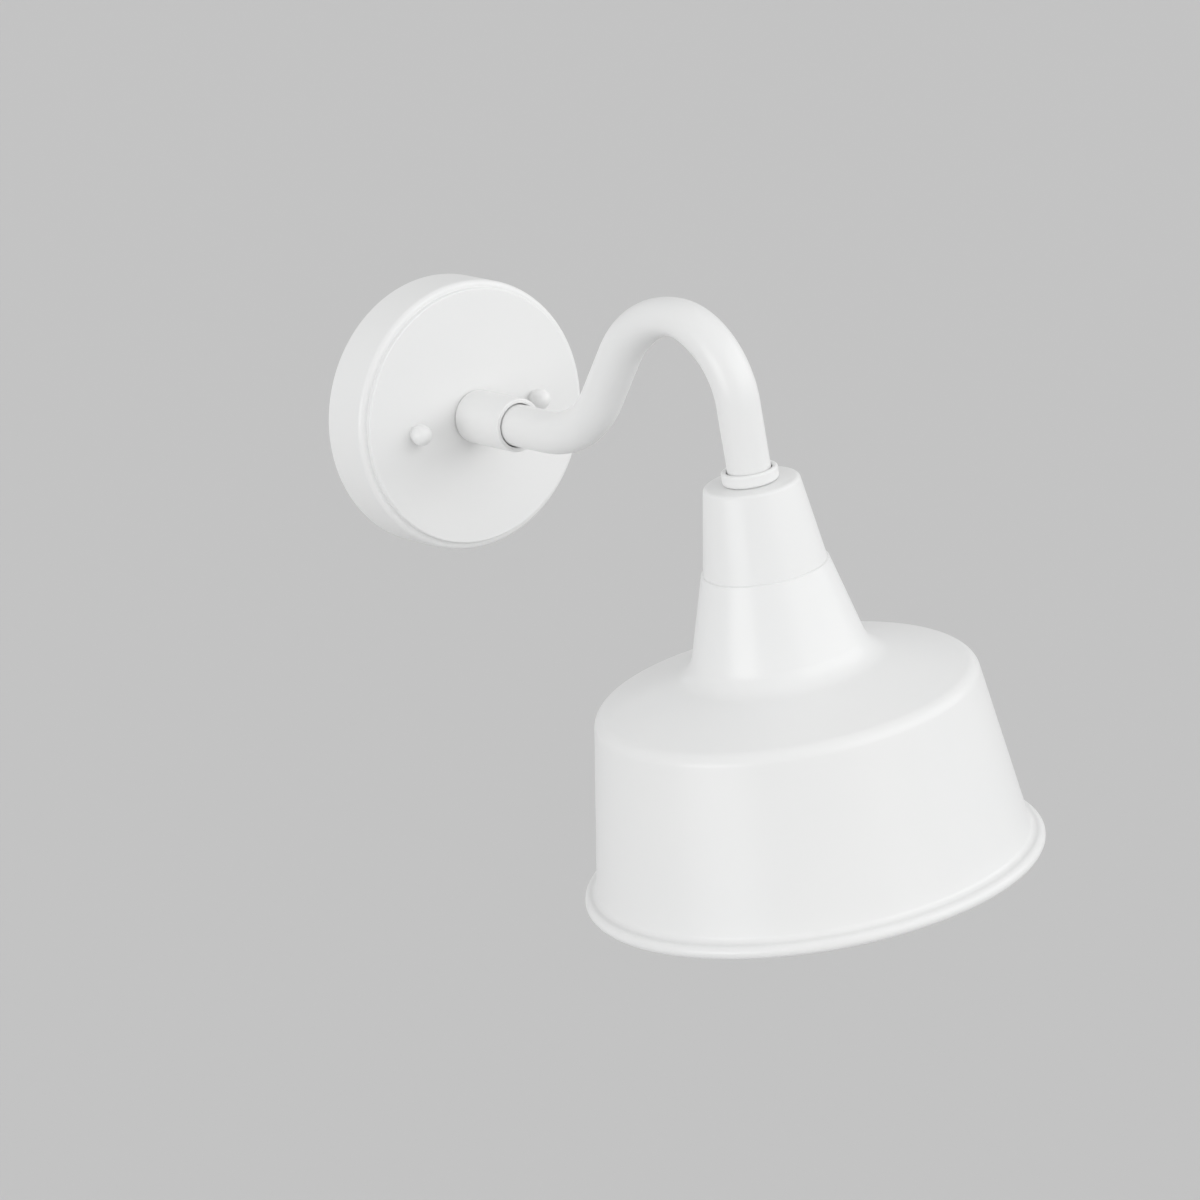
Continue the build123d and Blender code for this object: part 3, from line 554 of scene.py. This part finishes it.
def stranded(name, start, heading, length, core_r, sides=10, rows=24):
    """Seven strands, one straight in the middle and six that wind round it: a strand's centre
    goes round the lead by a full turn in the length of one twist, at two thirds of its radius."""
    heading = np.array(heading, float)
    side = np.cross(heading, (1.0, 0, 0))
    across = np.cross(heading, side)
    strand_r = core_r / 3
    share = np.linspace(0, 1, rows)
    wall = strand_r * np.concatenate([[0], np.ones(rows), [0]])[:, None]
    share = np.concatenate([[0], share, [1]])[:, None]
    angle = np.linspace(0, 2 * np.pi, sides, endpoint=False)[None, :]
    meshes = []
    for strand in range(STRANDS):
        wind = 2 * np.pi * (share * length / STRAND_TWIST + strand / (STRANDS - 1))
        away = 0 if strand == STRANDS - 1 else 2 * strand_r
        u = away * np.cos(wind) + wall * np.cos(angle)
        v = away * np.sin(wind) + wall * np.sin(angle)
        along = share * length + 0 * angle
        points = u[..., None] * side + v[..., None] * across + along[..., None] * heading
        meshes.append(add_piece(f"{name}_{strand}", np.array(start) + points, closed=False))
    with bpy.context.temp_override(active_object=meshes[0], selected_editable_objects=meshes):
        bpy.ops.object.join()
    meshes[0].name = name
    return meshes[0]


black_wire = new_finish("black_insulation", roughness=0.38)
tint(black_wire, (0.012, 0.012, 0.013, 1), (0.022, 0.022, 0.023, 1), cells=300)
polish(black_wire, low=0.3, high=0.46, cells=500)
white_wire = new_finish("white_insulation", roughness=0.38)
tint(white_wire, (0.70, 0.69, 0.65, 1), (0.78, 0.77, 0.73, 1), cells=300)
polish(white_wire, low=0.3, high=0.46, cells=500)
copper = new_finish("bare_copper", roughness=0.3, metallic=1.0)
tint(copper, (0.70, 0.33, 0.18, 1), (0.86, 0.47, 0.28, 1), cells=900)
polish(copper, low=0.22, high=0.4, cells=900)
leads = (("line", 1, black_wire, "black_wire"), ("neutral", -1, white_wire, "white_wire"))
for name, side, finish, slot in leads:
    lead_end = [(REACH, LEAD_Z), (REACH + side * LEAD_CORE_START, LEAD_Z)]
    lead_corners = [(LEAD_START, 0), *arm_corners, *lead_end]
    lead_line = rounded(lead_corners, [*arm_radii, LEAD_BEND_R], ARM_STEP)
    lead = swept_tube(f"{name}_insulation", lead_line, LEAD_R, x=side * LEAD_X, sides=24)
    fit(lead, finish, "light", slot, f"{name}_wire")
    tail_start = (side * LEAD_X, -LEAD_START, 0)
    tail = stranded(f"{name}_wall_strands", tail_start, (0, 1, 0), LEAD_STRIP, LEAD_CORE_R)
    fit(tail, copper, "light", "copper", "lead_ends")
    hook_start = (side * LEAD_X, -REACH - side * LEAD_CORE_START, LEAD_Z)
    hook = stranded(f"{name}_socket_strands", hook_start, (0, -side, 0), LEAD_HOOK, LEAD_CORE_R)
    fit(hook, copper, "light", "copper", "lead_ends")


# Ring
# A shallow turned cup under white powder coat, between the arm's lower end and the neck cap. Its
# rounded foot leaves a dark line on the cap.
RING_R = 0.0124
RING_HEIGHT = 0.0059
RING_EDGE_R = 0.001
RING_FOOT_R = 0.0016


def under_arm(points):
    """Local places round the shade's axis, with heights from the neck cap's top, in the frame."""
    return points + np.array([0, -REACH, NECK_Z])


ring_line = [
    (NIPPLE_HOLE_R, RING_FLOOR),
    (NIPPLE_HOLE_R, 0),
    (RING_R, 0),
    (RING_R, RING_HEIGHT),
    (ARM_BORE_R, RING_HEIGHT),
    (ARM_BORE_R, RING_FLOOR),
    (NIPPLE_HOLE_R, RING_FLOOR),
]
ring_section = rounded(ring_line, [0, RING_FOOT_R, RING_EDGE_R, RING_EDGE_R, 0])[:-1]
ring = turned("shade_ring_cup", under_arm, (0, 0, 0), ring_section, sides=144)
fit(ring, white, "light", "white_paint", "shade_ring")


# Shade nipple, washer and lock nuts
# The lower hollow rod comes out of the arm's end through the ring, the neck cap and the socket's
# bracket, with a washer and one nut for the cap and one for the bracket, all zinc-plated.
shade_nipple_low, shade_nipple_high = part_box("shade_nipple")
shade_nipple = threaded_rod(
    "shade_nipple_thread",
    under_arm,
    (0, 0, shade_nipple_low.z - NECK_Z),
    NIPPLE_R,
    shade_nipple_high.z - shade_nipple_low.z,
    NIPPLE_PITCH,
    NIPPLE_THREAD_DEPTH,
    bore=NIPPLE_BORE_R,
    chamfer=NIPPLE_CHAMFER,
    sides=56,
)
fit(shade_nipple, zinc, "light", "zinc_steel", "shade_nipple")

shade_nuts_low, shade_nuts_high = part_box("shade_lock_nuts")
shade_nut_places = {"neck": shade_nuts_high.z - LOCK_NUT_THICK, "bracket": shade_nuts_low.z}
for name, z in shade_nut_places.items():
    shade_nut = hexagon_nut(
        f"{name}_lock_nut", under_arm, (0, 0, z - NECK_Z), LOCK_NUT_FLATS, LOCK_NUT_THICK, NIPPLE_R
    )
    fit(shade_nut, zinc, "light", "zinc_steel", "shade_lock_nuts")
dress("shade_lock_washer", zinc)


# Neck cap
# A drawn steel cup under white powder coat, over the socket: a flat top with a soft edge, a
# tapered side, and a flared skirt that the shade's neck hangs on.
NECK_TOP_R = 0.021
NECK_TOP_EDGE_R = 0.002
NECK_SEAM_DROP = 0.0386
NECK_LAP = 0.015
NECK_LAP_R = 0.008
SHADE_SHEET = 0.0008
SHADE_SEAM_R = 0.028
SHADE_THROAT_R = 0.03965
SHADE_THROAT_DROP = 0.0816
LAP_GAP = 0.00002  # almost closed by paint
cone_slope = (SHADE_THROAT_R - SHADE_SEAM_R) / (SHADE_THROAT_DROP - NECK_SEAM_DROP)
seam_r = SHADE_SEAM_R - (SHADE_SHEET + LAP_GAP) * np.hypot(1, cone_slope)
neck_line = [
    (NIPPLE_HOLE_R, 0),
    (NECK_TOP_R, 0),
    (seam_r, -NECK_SEAM_DROP),
    (seam_r + NECK_LAP * cone_slope, -NECK_SEAM_DROP - NECK_LAP),
]
neck_section = sheet_section(neck_line, [NECK_TOP_EDGE_R, NECK_LAP_R], SHADE_SHEET)
neck_cap = turned("neck_cap_cup", under_arm, (0, 0, 0), neck_section, sides=192)
fit(neck_cap, white, "light", "white_paint", "neck_cap")


# Shade
# One spun steel shell under white powder coat: a conical throat with a bevelled lip, a sloping top,
# a rounded shoulder, a flared drum, and at the rim a small cove and a rolled bead.
shade_low, shade_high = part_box("shade")
SHADE_R = shade_high.x
SHADE_HEIGHT = NECK_Z - shade_low.z
SHADE_THROAT_ARC_R = 0.0138
SHADE_TOP_SLOPE = np.radians(16.6)
SHADE_SHOULDER_R = 0.0072
SHADE_FLARE = np.radians(8.65)
SHADE_COVE_R = 0.003
SHADE_BEAD_R = 0.003
SHADE_BEAD_TURN = np.radians(275)
SHADE_LIP_RISE = 0.0006
bead_x = SHADE_R - SHADE_BEAD_R
drum_end = np.array(
    [
        bead_x - SHADE_COVE_R * np.cos(SHADE_FLARE),
        2 * SHADE_BEAD_R - SHADE_HEIGHT + SHADE_COVE_R * (1 - np.sin(SHADE_FLARE)),
    ]
)
throat = np.array([SHADE_THROAT_R, -SHADE_THROAT_DROP])
fall = np.tan(SHADE_TOP_SLOPE)
flare = np.tan(SHADE_FLARE)
drum_rise = (throat[1] - drum_end[1] - fall * (drum_end[0] - throat[0])) / (1 - fall * flare)
shoulder = drum_end + drum_rise * np.array([-flare, 1])
shade_corners = [(SHADE_SEAM_R, -NECK_SEAM_DROP), throat, shoulder, drum_end]
shade_radii = [SHADE_THROAT_ARC_R, SHADE_SHOULDER_R]


def shade_line(inset):
    """The spun line, moved into the metal by an inset: the body, then the cove's arc to the left
    until it heads straight out, then the bead's arc to the right."""
    body = rounded(*beside(shade_corners, shade_radii, inset), step=np.radians(3))
    down = np.array([np.sin(SHADE_FLARE), -np.cos(SHADE_FLARE)])
    cove = arc(body[-1], down, SHADE_COVE_R + inset, np.pi / 2 - SHADE_FLARE)
    bead = arc(cove[-1], np.array([1.0, 0]), SHADE_BEAD_R - inset, -SHADE_BEAD_TURN)
    return np.concatenate([body, cove[1:], bead[1:]])


neck_lean = np.array([(NECK_TOP_R - seam_r) / NECK_SEAM_DROP, 1])
shade_lining = shade_line(SHADE_SHEET)
lip = shade_lining[:1] + SHADE_LIP_RISE * neck_lean
shade_section = np.concatenate([lip, shade_line(0), shade_lining[::-1]])
shade = turned("spun_shade", under_arm, (0, 0, 0), shade_section, sides=288)
fit(shade, white, "light", "white_paint", "shade")


# Socket bracket and its screws
# A hat-shaped strip of zinc-plated steel that hangs on the nipple and holds the socket by its two
# feet, with two slotted screws.
dress("socket_bracket", zinc)
SOCKET_SCREW_R = 0.0016
SOCKET_SCREW_GRIP = 0.0065
socket_screw_low, socket_screw_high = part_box("socket_screws")
SOCKET_SCREW_HEAD_R = (socket_screw_high.y - socket_screw_low.y) / 2
SOCKET_SCREW_X = socket_screw_high.x - SOCKET_SCREW_HEAD_R
SOCKET_SCREW_SEAT = socket_screw_low.z + SOCKET_SCREW_GRIP - NECK_Z
SOCKET_SCREW_HEAD = socket_screw_high.z - socket_screw_low.z - SOCKET_SCREW_GRIP
for side, x in (("left", -SOCKET_SCREW_X), ("right", SOCKET_SCREW_X)):
    seat = (x, 0, SOCKET_SCREW_SEAT)
    head = slotted_head(
        f"bracket_screw_head_{side}", under_arm, seat, SOCKET_SCREW_HEAD_R, SOCKET_SCREW_HEAD
    )
    pin = shank(f"bracket_screw_shank_{side}", under_arm, seat, SOCKET_SCREW_R, SOCKET_SCREW_GRIP)
    fit(head, zinc, "light", "zinc_steel", "socket_screws")
    fit(pin, zinc, "light", "zinc_steel")


# Socket
# A glazed white porcelain lamp holder with a closed roof, a round cavity and a tapered mouth, lined
# with a screw shell of thin brass. A sprung brass tongue hangs from the cavity's roof.
socket_low, socket_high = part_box("socket_body")
SOCKET_R = socket_high.x
SOCKET_TOP = socket_high.z - NECK_Z
SOCKET_END = socket_low.z - NECK_Z
SOCKET_ROOF = 0.007
SOCKET_TAPER = 0.014
SOCKET_EDGE_R = 0.0012
SOCKET_CAVITY_R = 0.01385
SOCKET_MOUTH_R = 0.017
SHELL_R = 0.0138
SHELL_BORE_R = 0.0133
SHELL_SHEET = 0.0005
SHELL_THREAD_DEPTH = 0.0004
SCREW_CAP_PITCH = 0.00363
SCREW_CAP_SIDES = 96
socket_line = [
    (0, SOCKET_TOP),
    (SOCKET_R, SOCKET_TOP),
    (SOCKET_R, SOCKET_END + SOCKET_TAPER),
    (SOCKET_MOUTH_R, SOCKET_END),
    (SOCKET_CAVITY_R, SOCKET_END),
    (SOCKET_CAVITY_R, SOCKET_TOP - SOCKET_ROOF),
    (0, SOCKET_TOP - SOCKET_ROOF),
]
porcelain = new_finish("glazed_porcelain", roughness=0.14)
tint(porcelain, (0.76, 0.75, 0.71, 1), (0.82, 0.81, 0.77, 1), cells=160)
polish(porcelain, low=0.1, high=0.2, cells=90)
ripple(porcelain, height=0.00002, cells=260)
socket_section = rounded(socket_line, [SOCKET_EDGE_R] * 4 + [0])
socket = turned("porcelain_socket", under_arm, (0, 0, 0), socket_section, sides=144)
fit(socket, porcelain, "light", "porcelain", "socket_body")

brass = new_finish("rolled_brass", roughness=0.3, metallic=1.0)
tint(brass, (0.64, 0.45, 0.17, 1), (0.78, 0.58, 0.26, 1), cells=350)
polish(brass, low=0.22, high=0.42, cells=600)
shell_height = np.linspace(SOCKET_END, SOCKET_TOP - SOCKET_ROOF - SHELL_SHEET, num=110)[:, None]
shell_angle = np.linspace(0, 2 * np.pi, SCREW_CAP_SIDES, endpoint=False)[None, :]


def round_thread(height, angle):
    """A rolled thread's depth, from 0 to 1 and back once a pitch as a cosine, one turn a pitch."""
    return 0.5 - 0.5 * np.cos(2 * np.pi * height / SCREW_CAP_PITCH - angle)


shell_bore = SHELL_BORE_R + SHELL_THREAD_DEPTH * round_thread(shell_height, shell_angle)
shell_wall = np.full((2, SCREW_CAP_SIDES), SHELL_R)
shell_r = np.concatenate([shell_bore, shell_wall])
shell_height = np.concatenate([shell_height, shell_height[[-1, 0]]])
shell = add_piece("screw_shell", under_arm(spun(shell_r, shell_height, shell_angle)), closed=True)
fit(shell, brass, "light", "brass", "socket_shell")
dress("socket_contact", brass)


# Terminals
# Two brass plates on the socket's roof, each with a slotted brass screw that clamps its lead.
dress("terminal_plates", brass)
TERMINAL_SCREW_R = 0.0015
TERMINAL_SCREW_GRIP = 0.0071
terminal_low, terminal_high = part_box("terminal_screws")
TERMINAL_HEAD_R = 0.0027
TERMINAL_X = terminal_high.x - TERMINAL_HEAD_R
TERMINAL_Y = (terminal_high.y - terminal_low.y) / 2 - TERMINAL_HEAD_R
TERMINAL_SEAT = terminal_low.z + TERMINAL_SCREW_GRIP - NECK_Z
TERMINAL_HEAD = terminal_high.z - terminal_low.z - TERMINAL_SCREW_GRIP
for name, side, _, _ in leads:
    seat = (side * TERMINAL_X, -side * TERMINAL_Y, TERMINAL_SEAT)
    head = slotted_head(f"{name}_terminal_head", under_arm, seat, TERMINAL_HEAD_R, TERMINAL_HEAD)
    pin = shank(f"{name}_terminal_shank", under_arm, seat, TERMINAL_SCREW_R, TERMINAL_SCREW_GRIP)
    fit(head, brass, "light", "brass", "terminal_screws")
    fit(pin, brass, "light", "brass")


# Lamp
# A screw-in lamp: a solder tip on a black insulator, a rolled screw cap of nickel-bright metal, a
# flaring housing of white plastic and a milky dome pressed over its rim.
lamp_cap_low, lamp_cap_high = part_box("lamp_cap")
LAMP_CAP_R = lamp_cap_high.x
LAMP_CAP_TOP = lamp_cap_high.z - NECK_Z
LAMP_CAP_END = lamp_cap_low.z - NECK_Z
LAMP_CAP_SHEET = 0.0005
LAMP_CAP_BORE_R = 0.0114
LAMP_THREAD_DEPTH = 0.00095
LAMP_CAP_SHOULDER = 0.003
LAMP_CAP_SEAT_R = 0.0095
solder = new_finish("lamp_solder", roughness=0.5, metallic=1.0)
tint(solder, (0.38, 0.38, 0.39, 1), (0.52, 0.52, 0.53, 1), cells=800)
polish(solder, low=0.4, high=0.6, cells=600)
dress("lamp_contact", solder)
insulator = new_finish("black_insulator", roughness=0.3)
tint(insulator, (0.010, 0.010, 0.011, 1), (0.020, 0.020, 0.021, 1), cells=500)
polish(insulator, low=0.22, high=0.4, cells=400)
dress("lamp_insulator", insulator)

nickel = new_finish("nickel_cap", roughness=0.28, metallic=1.0)
tint(nickel, (0.58, 0.57, 0.54, 1), (0.70, 0.69, 0.66, 1), cells=260)
polish(nickel, low=0.2, high=0.36, cells=(300, 300, 2600))
cap_height = np.linspace(LAMP_CAP_END, LAMP_CAP_TOP, num=120)[:, None]
cap_angle = np.linspace(0, 2 * np.pi, SCREW_CAP_SIDES, endpoint=False)[None, :]
from_foot = (cap_height - LAMP_CAP_END) / LAMP_CAP_SHOULDER
from_top = (LAMP_CAP_TOP - cap_height) / LAMP_CAP_SHOULDER
run_out = np.clip(np.minimum(from_foot, from_top), 0, 1)
cap_r = LAMP_CAP_R - LAMP_THREAD_DEPTH * run_out * round_thread(cap_height, cap_angle)
cap_r -= LAMP_THREAD_DEPTH * np.clip(1 - from_top, 0, 1) ** 2
cap_inside = np.array([LAMP_CAP_SEAT_R, LAMP_CAP_SEAT_R, LAMP_CAP_BORE_R, LAMP_CAP_BORE_R])[:, None]
cap_roof = LAMP_CAP_TOP - LAMP_CAP_SHEET
cap_levels = np.array([LAMP_CAP_TOP, cap_roof, cap_roof, LAMP_CAP_END])
cap_r = np.concatenate([cap_r, cap_inside + 0 * cap_angle])
cap_height = np.concatenate([cap_height, cap_levels[:, None]])
cap = add_piece("lamp_screw_cap", under_arm(spun(cap_r, cap_height, cap_angle)), closed=True)
fit(cap, nickel, "lamp", "lamp_metal", "lamp_cap")

lamp_body_low, lamp_body_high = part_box("lamp_body")
dome_low, dome_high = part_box("lamp_diffuser")
DOME_R = (dome_high.x - dome_low.x) / 2
DOME_SHEET = 0.0016
DOME_GAP = 0.00015
DOME_ROWS = 60
DOME_CENTRE = dome_low.z + DOME_R - NECK_Z
DOME_JOINT = dome_high.z - NECK_Z
LAMP_CORE_R = 0.01125
LAMP_NECK_R = 0.014
LAMP_KNEE_R = 0.0155
LAMP_KNEE_DROP = 0.017
LAMP_KNEE_ARC_R = 0.025
LAMP_FOOT_R = 0.0007
LAMP_SPIGOT = lamp_body_low.z - NECK_Z
joint_rise = DOME_JOINT - DOME_CENTRE
joint_r = np.sqrt(DOME_R**2 - joint_rise**2)
spigot_r = np.sqrt((DOME_R - DOME_SHEET) ** 2 - joint_rise**2) - DOME_GAP
body_line = [
    (0, lamp_body_high.z - NECK_Z),
    (LAMP_CORE_R, lamp_body_high.z - NECK_Z),
    (LAMP_CORE_R, LAMP_CAP_END),
    (LAMP_NECK_R, LAMP_CAP_END),
    (LAMP_KNEE_R, LAMP_CAP_END - LAMP_KNEE_DROP),
    (joint_r, DOME_JOINT),
    (spigot_r, DOME_JOINT),
    (spigot_r, LAMP_SPIGOT),
    (0, LAMP_SPIGOT),
]
lamp_plastic = new_finish("lamp_housing_plastic", roughness=0.5)
tint(lamp_plastic, (0.76, 0.76, 0.74, 1), (0.82, 0.82, 0.80, 1), cells=60)
polish(lamp_plastic, low=0.42, high=0.56, cells=300)
ripple(lamp_plastic, height=0.00001, cells=1400)
lamp_body_section = rounded(body_line, [0, 0, LAMP_FOOT_R, LAMP_KNEE_ARC_R, 0, 0, 0], np.radians(3))
lamp_body = turned("lamp_housing", under_arm, (0, 0, 0), lamp_body_section, sides=144)
fit(lamp_body, lamp_plastic, "lamp", "lamp_plastic", "lamp_body")

dome_angle = np.linspace(np.arcsin(joint_rise / DOME_R), -np.pi / 2, DOME_ROWS)
dome_bore = DOME_R - DOME_SHEET
bore_angle = np.linspace(-np.pi / 2, np.arcsin(joint_rise / dome_bore), DOME_ROWS)
dome_section = np.concatenate(
    [
        dome_bore * np.stack([np.cos(bore_angle), np.sin(bore_angle)], axis=1),
        DOME_R * np.stack([np.cos(dome_angle), np.sin(dome_angle)], axis=1),
    ]
)
dome_section[[0, -1], 0] = 0
milky = new_finish("milky_dome", roughness=0.42)
milky_shader = milky.node_tree.nodes["Principled BSDF"]
milky_shader.inputs["Subsurface Weight"].default_value = 0.2
milky_shader.inputs["Subsurface Radius"].default_value = (0.006, 0.006, 0.005)
tint(milky, (0.82, 0.81, 0.78, 1), (0.86, 0.85, 0.82, 1), cells=40)
polish(milky, low=0.36, high=0.48, cells=200)
dome = turned("lamp_dome_shell", under_arm, (0, 0, DOME_CENTRE), dome_section, sides=144)
fit(dome, milky, "lamp", "lamp_dome", "lamp_diffuser")


# Floor and light
# The light hangs well above a plain pale floor, under a soft sky that is brighter towards the
# horizon, with broad lights in front, at the right and, lower, at the left.
FLOOR_Z = -2.4
FLOOR_HALF = 150.0
FLOOR_GREY = 0.60
SKY_STRENGTH = 0.66
HORIZON_STRENGTH = 1.30
HORIZON_FADE = 0.5  # sine of the elevation
BACKDROP_GREY = 0.552


def add_sun(name, strength, azimuth, elevation, softness):
    """A broad light that shines from an azimuth, 0 in front and -90 at the left, and an elevation."""
    sun = bpy.data.lights.new(name, "SUN")
    sun.energy = strength
    sun.angle = np.radians(softness)
    lamp = bpy.data.objects.new(name, sun)
    a, e = np.radians(azimuth), np.radians(elevation)
    towards = Vector((np.sin(a) * np.cos(e), -np.cos(a) * np.cos(e), np.sin(e)))
    lamp.rotation_mode = "QUATERNION"
    lamp.rotation_quaternion = towards.to_track_quat("Z", "Y")
    bpy.context.scene.collection.objects.link(lamp)


floor_paint = new_finish("pale_floor", roughness=0.9)
tint(floor_paint, (FLOOR_GREY,) * 3 + (1,), (FLOOR_GREY,) * 3 + (1,), cells=1)
floor_corners = np.array([(-1, -1), (1, -1), (1, 1), (-1, 1)]) * FLOOR_HALF
floor_mesh = bpy.data.meshes.new("floor")
floor_mesh.from_pydata([(x, y, FLOOR_Z) for x, y in floor_corners], [], [(0, 1, 2, 3)])
floor_mesh.materials.append(floor_paint)
floor = bpy.data.objects.new("floor", floor_mesh)
bpy.context.scene.collection.objects.link(floor)

add_sun("front_light", strength=0.65, azimuth=15, elevation=25, softness=50)
add_sun("right_light", strength=0.62, azimuth=60, elevation=15, softness=50)
add_sun("left_light", strength=0.95, azimuth=-86, elevation=6, softness=40)

world = bpy.data.worlds.new("soft_sky")
bpy.context.scene.world = world
world.use_nodes = True
sky = world.node_tree
rays = sky.nodes.new("ShaderNodeLightPath")
seen = sky.nodes.new("ShaderNodeMath")
seen.operation = "MAXIMUM"
seen_or_glass = sky.nodes.new("ShaderNodeMath")
seen_or_glass.operation = "MAXIMUM"
sky_light = sky.nodes["Background"]
sky_light.inputs["Color"].default_value = (1, 1, 1, 1)
direction = sky.nodes.new("ShaderNodeTexCoord")
height = sky.nodes.new("ShaderNodeSeparateXYZ")
fade = sky.nodes.new("ShaderNodeMapRange")
fade.inputs["From Max"].default_value = HORIZON_FADE
fade.inputs["To Min"].default_value = HORIZON_STRENGTH
fade.inputs["To Max"].default_value = SKY_STRENGTH
sky.links.new(direction.outputs["Generated"], height.inputs["Vector"])
sky.links.new(height.outputs["Z"], fade.inputs["Value"])
sky.links.new(fade.outputs["Result"], sky_light.inputs["Strength"])
backdrop = sky.nodes.new("ShaderNodeBackground")
backdrop.inputs["Color"].default_value = (BACKDROP_GREY,) * 3 + (1,)
backdrop.inputs["Strength"].default_value = 1
either = sky.nodes.new("ShaderNodeMixShader")
sky.links.new(rays.outputs["Is Camera Ray"], seen.inputs[0])
sky.links.new(rays.outputs["Is Glossy Ray"], seen.inputs[1])
sky.links.new(seen.outputs[0], seen_or_glass.inputs[0])
sky.links.new(rays.outputs["Is Transmission Ray"], seen_or_glass.inputs[1])
sky.links.new(seen_or_glass.outputs[0], either.inputs["Fac"])
sky.links.new(sky_light.outputs[0], either.inputs[1])
sky.links.new(backdrop.outputs[0], either.inputs[2])
sky.links.new(either.outputs[0], sky.nodes["World Output"].inputs["Surface"])


# Camera
# A long lens from the left front and above, rolled as the photograph is.
CAMERA_AZIMUTH = np.radians(-34.077)
CAMERA_ELEVATION = np.radians(17.648)
CAMERA_ROLL = np.radians(-9.923)
CAMERA_DISTANCE = 2.896982
CAMERA_TARGET = Vector((-0.006193, -0.110, -0.073522))
CAMERA_LENS = 195
CAMERA_SENSOR = 36
back = Vector(
    (
        np.sin(CAMERA_AZIMUTH) * np.cos(CAMERA_ELEVATION),
        -np.cos(CAMERA_AZIMUTH) * np.cos(CAMERA_ELEVATION),
        np.sin(CAMERA_ELEVATION),
    )
)
camera_data = bpy.data.cameras.new("camera")
camera_data.lens = CAMERA_LENS
camera_data.sensor_width = CAMERA_SENSOR
camera = bpy.data.objects.new("camera", camera_data)
level = Vector((np.cos(CAMERA_AZIMUTH), np.sin(CAMERA_AZIMUTH), 0))
upright = back.cross(level)
right = level * np.cos(CAMERA_ROLL) + upright * np.sin(CAMERA_ROLL)
up = upright * np.cos(CAMERA_ROLL) - level * np.sin(CAMERA_ROLL)
camera.matrix_world = Matrix.Translation(CAMERA_TARGET + back * CAMERA_DISTANCE) @ Matrix(
    (right, up, back)
).transposed().to_4x4()
bpy.context.scene.collection.objects.link(camera)
bpy.context.scene.camera = camera
bpy.context.scene.view_settings.view_transform = "Standard"
